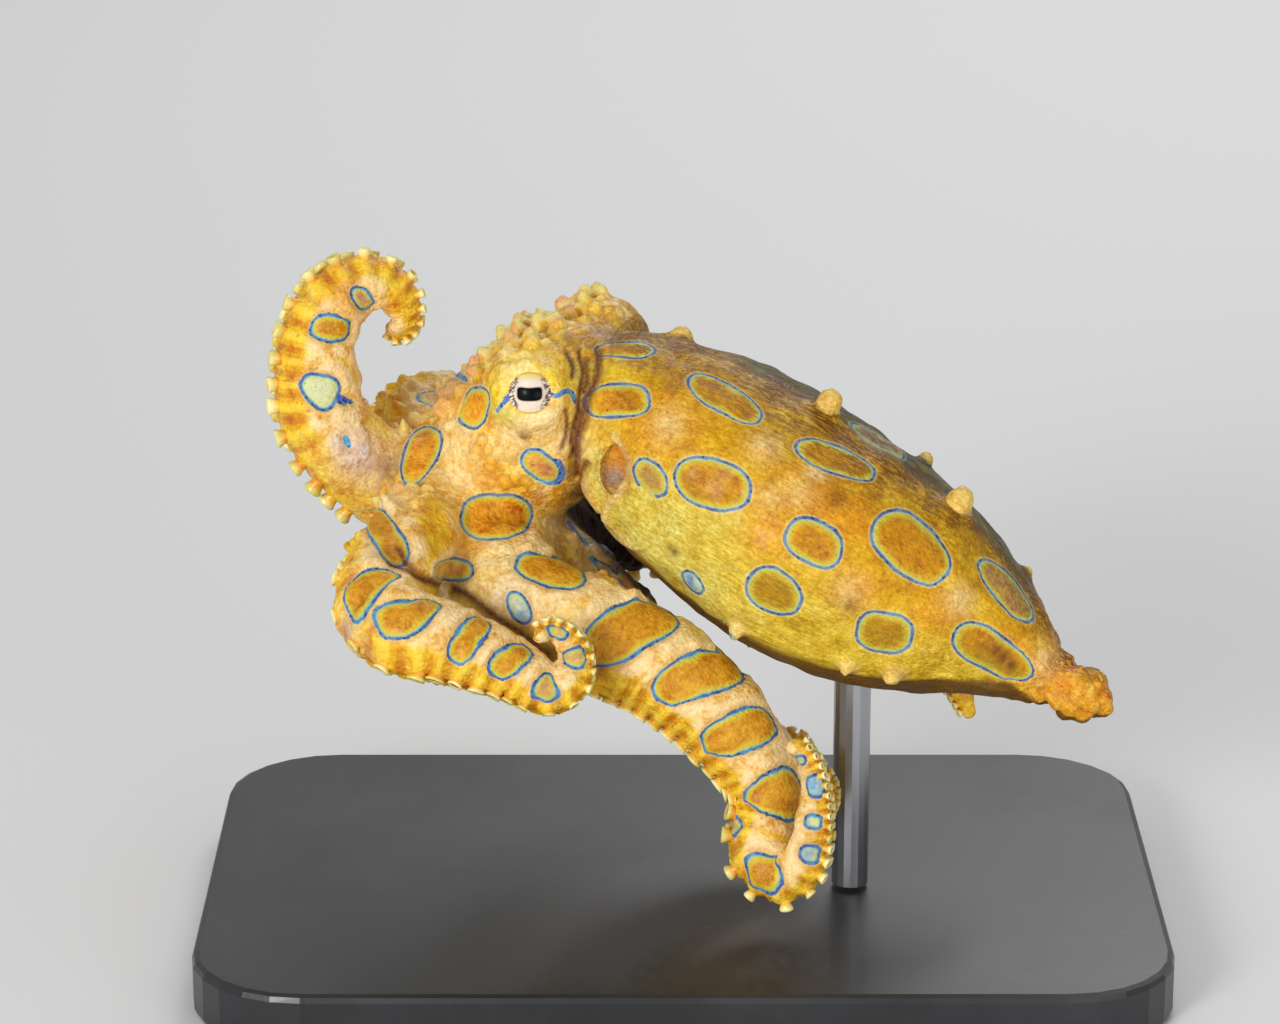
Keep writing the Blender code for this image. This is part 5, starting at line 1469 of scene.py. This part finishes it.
def eye_finish():
    """A black slot in a cream ring, with brown dots in rays at its two ends."""
    f = Finish("octopus_eye")
    across, up, slot = f.field("eye_across"), f.field("eye_up"), f.field("slot")
    out = f.maths("SQRT", f.plus(f.times(across, across), f.times(up, up)))
    angle = f.maths("ARCTAN2", up, across)
    polar = f.add("ShaderNodeCombineXYZ", {"X": f.times(angle, 10.0), "Y": f.times(out, 3.2)}).outputs[0]
    rays = f.between(f.cells(1.35, where=polar), 0.7, 0.48)
    ends = f.times(f.between(f.maths("ABSOLUTE", across), 0.62, 0.95), f.between(out, 1.0, 1.12))
    white = f.mix(f.noise(1500, 3), srgb(226, 204, 186), srgb(250, 240, 224))
    white = f.mix(f.between(up, 0.75, 1.1), white, srgb(238, 222, 150))
    colour = f.mix(f.times(rays, ends, 0.9), white, srgb(78, 46, 32))
    lid = f.plus(f.times(f.times(across, across), 0.42), f.times(f.times(up, up), 0.58))
    colour = f.mix(f.between(lid, 0.92, 1.08), colour, srgb(226, 186, 66))
    colour = f.mix(f.times(f.between(slot, 1.22, 1.06), 0.4), colour, srgb(150, 110, 92))
    colour = f.mix(f.between(slot, 1.04, 0.98), colour, srgb(3, 4, 10))
    f.set(Base_Color=colour, Roughness=0.4, Coat_Weight=0.06, Coat_Roughness=0.05, Specular_IOR_Level=0.08)
    return f.material


def beak_finish():
    f = Finish("octopus_beak")
    colour = f.mix(f.noise(900, 4), srgb(28, 14, 8), srgb(84, 44, 22))
    f.set(Base_Color=colour, Roughness=0.28, Coat_Weight=0.4, Coat_Roughness=0.1,
          Normal=f.bump(f.noise(1800, 3), 0.00005, 0.5))
    return f.material


def base_finish():
    f = Finish("stand_base_satin")
    speck = f.noise(2400, 2, 0.5)
    wear = f.noise(60, 5, 0.6)
    colour = f.mix(f.between(wear, 0.35, 0.7), srgb(30, 31, 34), srgb(42, 43, 46))
    f.set(Base_Color=colour, Roughness=f.between(wear, 0.3, 0.7, 0.3, 0.42), Coat_Weight=0.15,
          Normal=f.bump(speck, 0.00002, 0.5))
    return f.material


def rod_finish():
    f = Finish("stand_rod_steel")
    brushed = f.noise(1500, 3, 0.5, where=f.stretched(f.where, (1, 1, 0.04)))
    colour = f.mix(brushed, srgb(168, 170, 174), srgb(190, 192, 196))
    f.set(Base_Color=colour, Metallic=1.0, Roughness=f.between(brushed, 0.3, 0.7, 0.3, 0.36))
    return f.material


def floor_finish():
    f = Finish("studio_floor")
    f.set(Base_Color=srgb(226, 227, 229), Roughness=0.6)
    return f.material


# Settings, operators and panel
class OctopusSettings(bpy.types.PropertyGroup):
    """What a user would change."""

    voxel: bpy.props.FloatProperty(
        name="Skin detail", description="Size of the skin's smallest faces", default=0.000262,
        unit="LENGTH")
    light: bpy.props.FloatProperty(
        name="Light", description="Strength of the studio's key light in watts", default=2.3, min=0.0)


def flesh_nodes():
    """The CAD nodes that the skin stands for."""
    flesh = ("mantle", "head", "crown", "funnel", "arm")
    return [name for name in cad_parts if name.split("_")[0] in flesh]


class OCTOPUS_OT_skin(bpy.types.Operator):
    """Draws one skin over mantle, head, funnel and arms, and paints its rings"""

    bl_idname = "octopus.skin"
    bl_label = "Skin"

    def execute(self, context):
        skin = make_skin(context.scene.octopus.voxel)
        finish_piece(skin, flesh_nodes(), "skin", skin_finish())
        return {"FINISHED"}


class OCTOPUS_OT_suckers(bpy.types.Operator):
    """Sets two rows of suckers along each arm to its tip"""

    bl_idname = "octopus.suckers"
    bl_label = "Suckers"

    def execute(self, context):
        cup, faces = sucker_cup()
        finish = sucker_finish()
        draw = np.random.default_rng(5)
        for name in ARMS:
            finish_piece(sucker_row(Arm(name), cup, faces, draw), (), "skin", finish)
        return {"FINISHED"}


class OCTOPUS_OT_eyes(bpy.types.Operator):
    """Sets an eye with its slot pupil in each lid"""

    bl_idname = "octopus.eyes"
    bl_label = "Eyes"

    def execute(self, context):
        finish = eye_finish()
        for side in EYES:
            finish_piece(make_eye(side), (f"eye_{side}",), "eye", finish)
        return {"FINISHED"}


class OCTOPUS_OT_beak(bpy.types.Operator):
    """Sets the beak inside the lips"""

    bl_idname = "octopus.beak"
    bl_label = "Beak"

    def execute(self, context):
        finish_piece(make_beak(), ("mouth",), "beak", beak_finish())
        return {"FINISHED"}


class OCTOPUS_OT_stand(bpy.types.Operator):
    """Gives the base and the rod their finishes"""

    bl_idname = "octopus.stand"
    bl_label = "Stand"

    def execute(self, context):
        for name, finish in (("stand_base", base_finish()), ("stand_rod", rod_finish())):
            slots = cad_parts[name].data.materials
            slots.clear()
            slots.append(finish)
        return {"FINISHED"}


def soft_light(name, spot, size, power):
    """A large soft lamp that faces the model."""
    lamp = bpy.data.lights.new(name, "AREA")
    lamp.shape, lamp.size, lamp.energy = "DISK", size, power
    item = bpy.data.objects.new(name, lamp)
    bpy.context.scene.collection.objects.link(item)
    item.location = spot
    item.rotation_euler = (Vector(LIGHT_AIM) - Vector(spot)).to_track_quat("-Z", "Y").to_euler()


class OCTOPUS_OT_studio(bpy.types.Operator):
    """Makes the floor, the lights and the photograph's camera"""

    bl_idname = "octopus.studio"
    bl_label = "Studio"

    def execute(self, context):
        scene = context.scene
        bpy.ops.object.select_all(action="DESELECT")
        bpy.ops.mesh.primitive_plane_add(size=FLOOR_SIZE)
        floor = bpy.context.object
        floor.name = "floor"
        floor.data.materials.append(floor_finish())
        world = bpy.data.worlds.new("soft_room")
        scene.world = world
        world.use_nodes = True
        background = world.node_tree.nodes["Background"].inputs
        background["Color"].default_value = ROOM_COLOUR
        background["Strength"].default_value = ROOM_STRENGTH
        for name, spot, size, share in LIGHTS:
            soft_light(name, spot, size, scene.octopus.light * share)
        camera = bpy.data.cameras.new("photo_view")
        item = bpy.data.objects.new("photo_view", camera)
        scene.collection.objects.link(item)
        scene.camera = item
        camera.sensor_width = SENSOR
        camera.lens = SENSOR * CAMERA_AWAY / (PHOTO_SIZE[0] * PIXEL)
        camera.clip_start = CAMERA_CLIP
        eye, aim = place([(0, 0, -CAMERA_AWAY), (0, 0, 0)])
        item.location = eye
        item.rotation_euler = Vector(aim - eye).to_track_quat("-Z", "Y").to_euler()
        scene.view_settings.view_transform = "Standard"
        return {"FINISHED"}


class OCTOPUS_PT_panel(bpy.types.Panel):
    """Lists the pieces in the sidebar"""

    bl_label = "Octopus"
    bl_space_type = "VIEW_3D"
    bl_region_type = "UI"
    bl_category = "Octopus"

    def draw(self, context):
        settings = context.scene.octopus
        for name in settings.__annotations__:
            self.layout.prop(settings, name)
        for operator in OPERATORS:
            self.layout.operator(operator.bl_idname)


OPERATORS = (OCTOPUS_OT_skin, OCTOPUS_OT_suckers, OCTOPUS_OT_eyes, OCTOPUS_OT_beak, OCTOPUS_OT_stand,
             OCTOPUS_OT_studio)


def register():
    for made in (OctopusSettings, *OPERATORS, OCTOPUS_PT_panel):
        bpy.utils.register_class(made)
    bpy.types.Scene.octopus = bpy.props.PointerProperty(type=OctopusSettings)


def unregister():
    del bpy.types.Scene.octopus
    for made in (OCTOPUS_PT_panel, *reversed(OPERATORS), OctopusSettings):
        bpy.utils.unregister_class(made)


def main():
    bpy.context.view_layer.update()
    register()
    bpy.ops.octopus.skin()
    bpy.ops.octopus.suckers()
    bpy.ops.octopus.eyes()
    bpy.ops.octopus.beak()
    bpy.ops.octopus.stand()
    bpy.ops.octopus.studio()


if __name__ == "__main__":
    main()
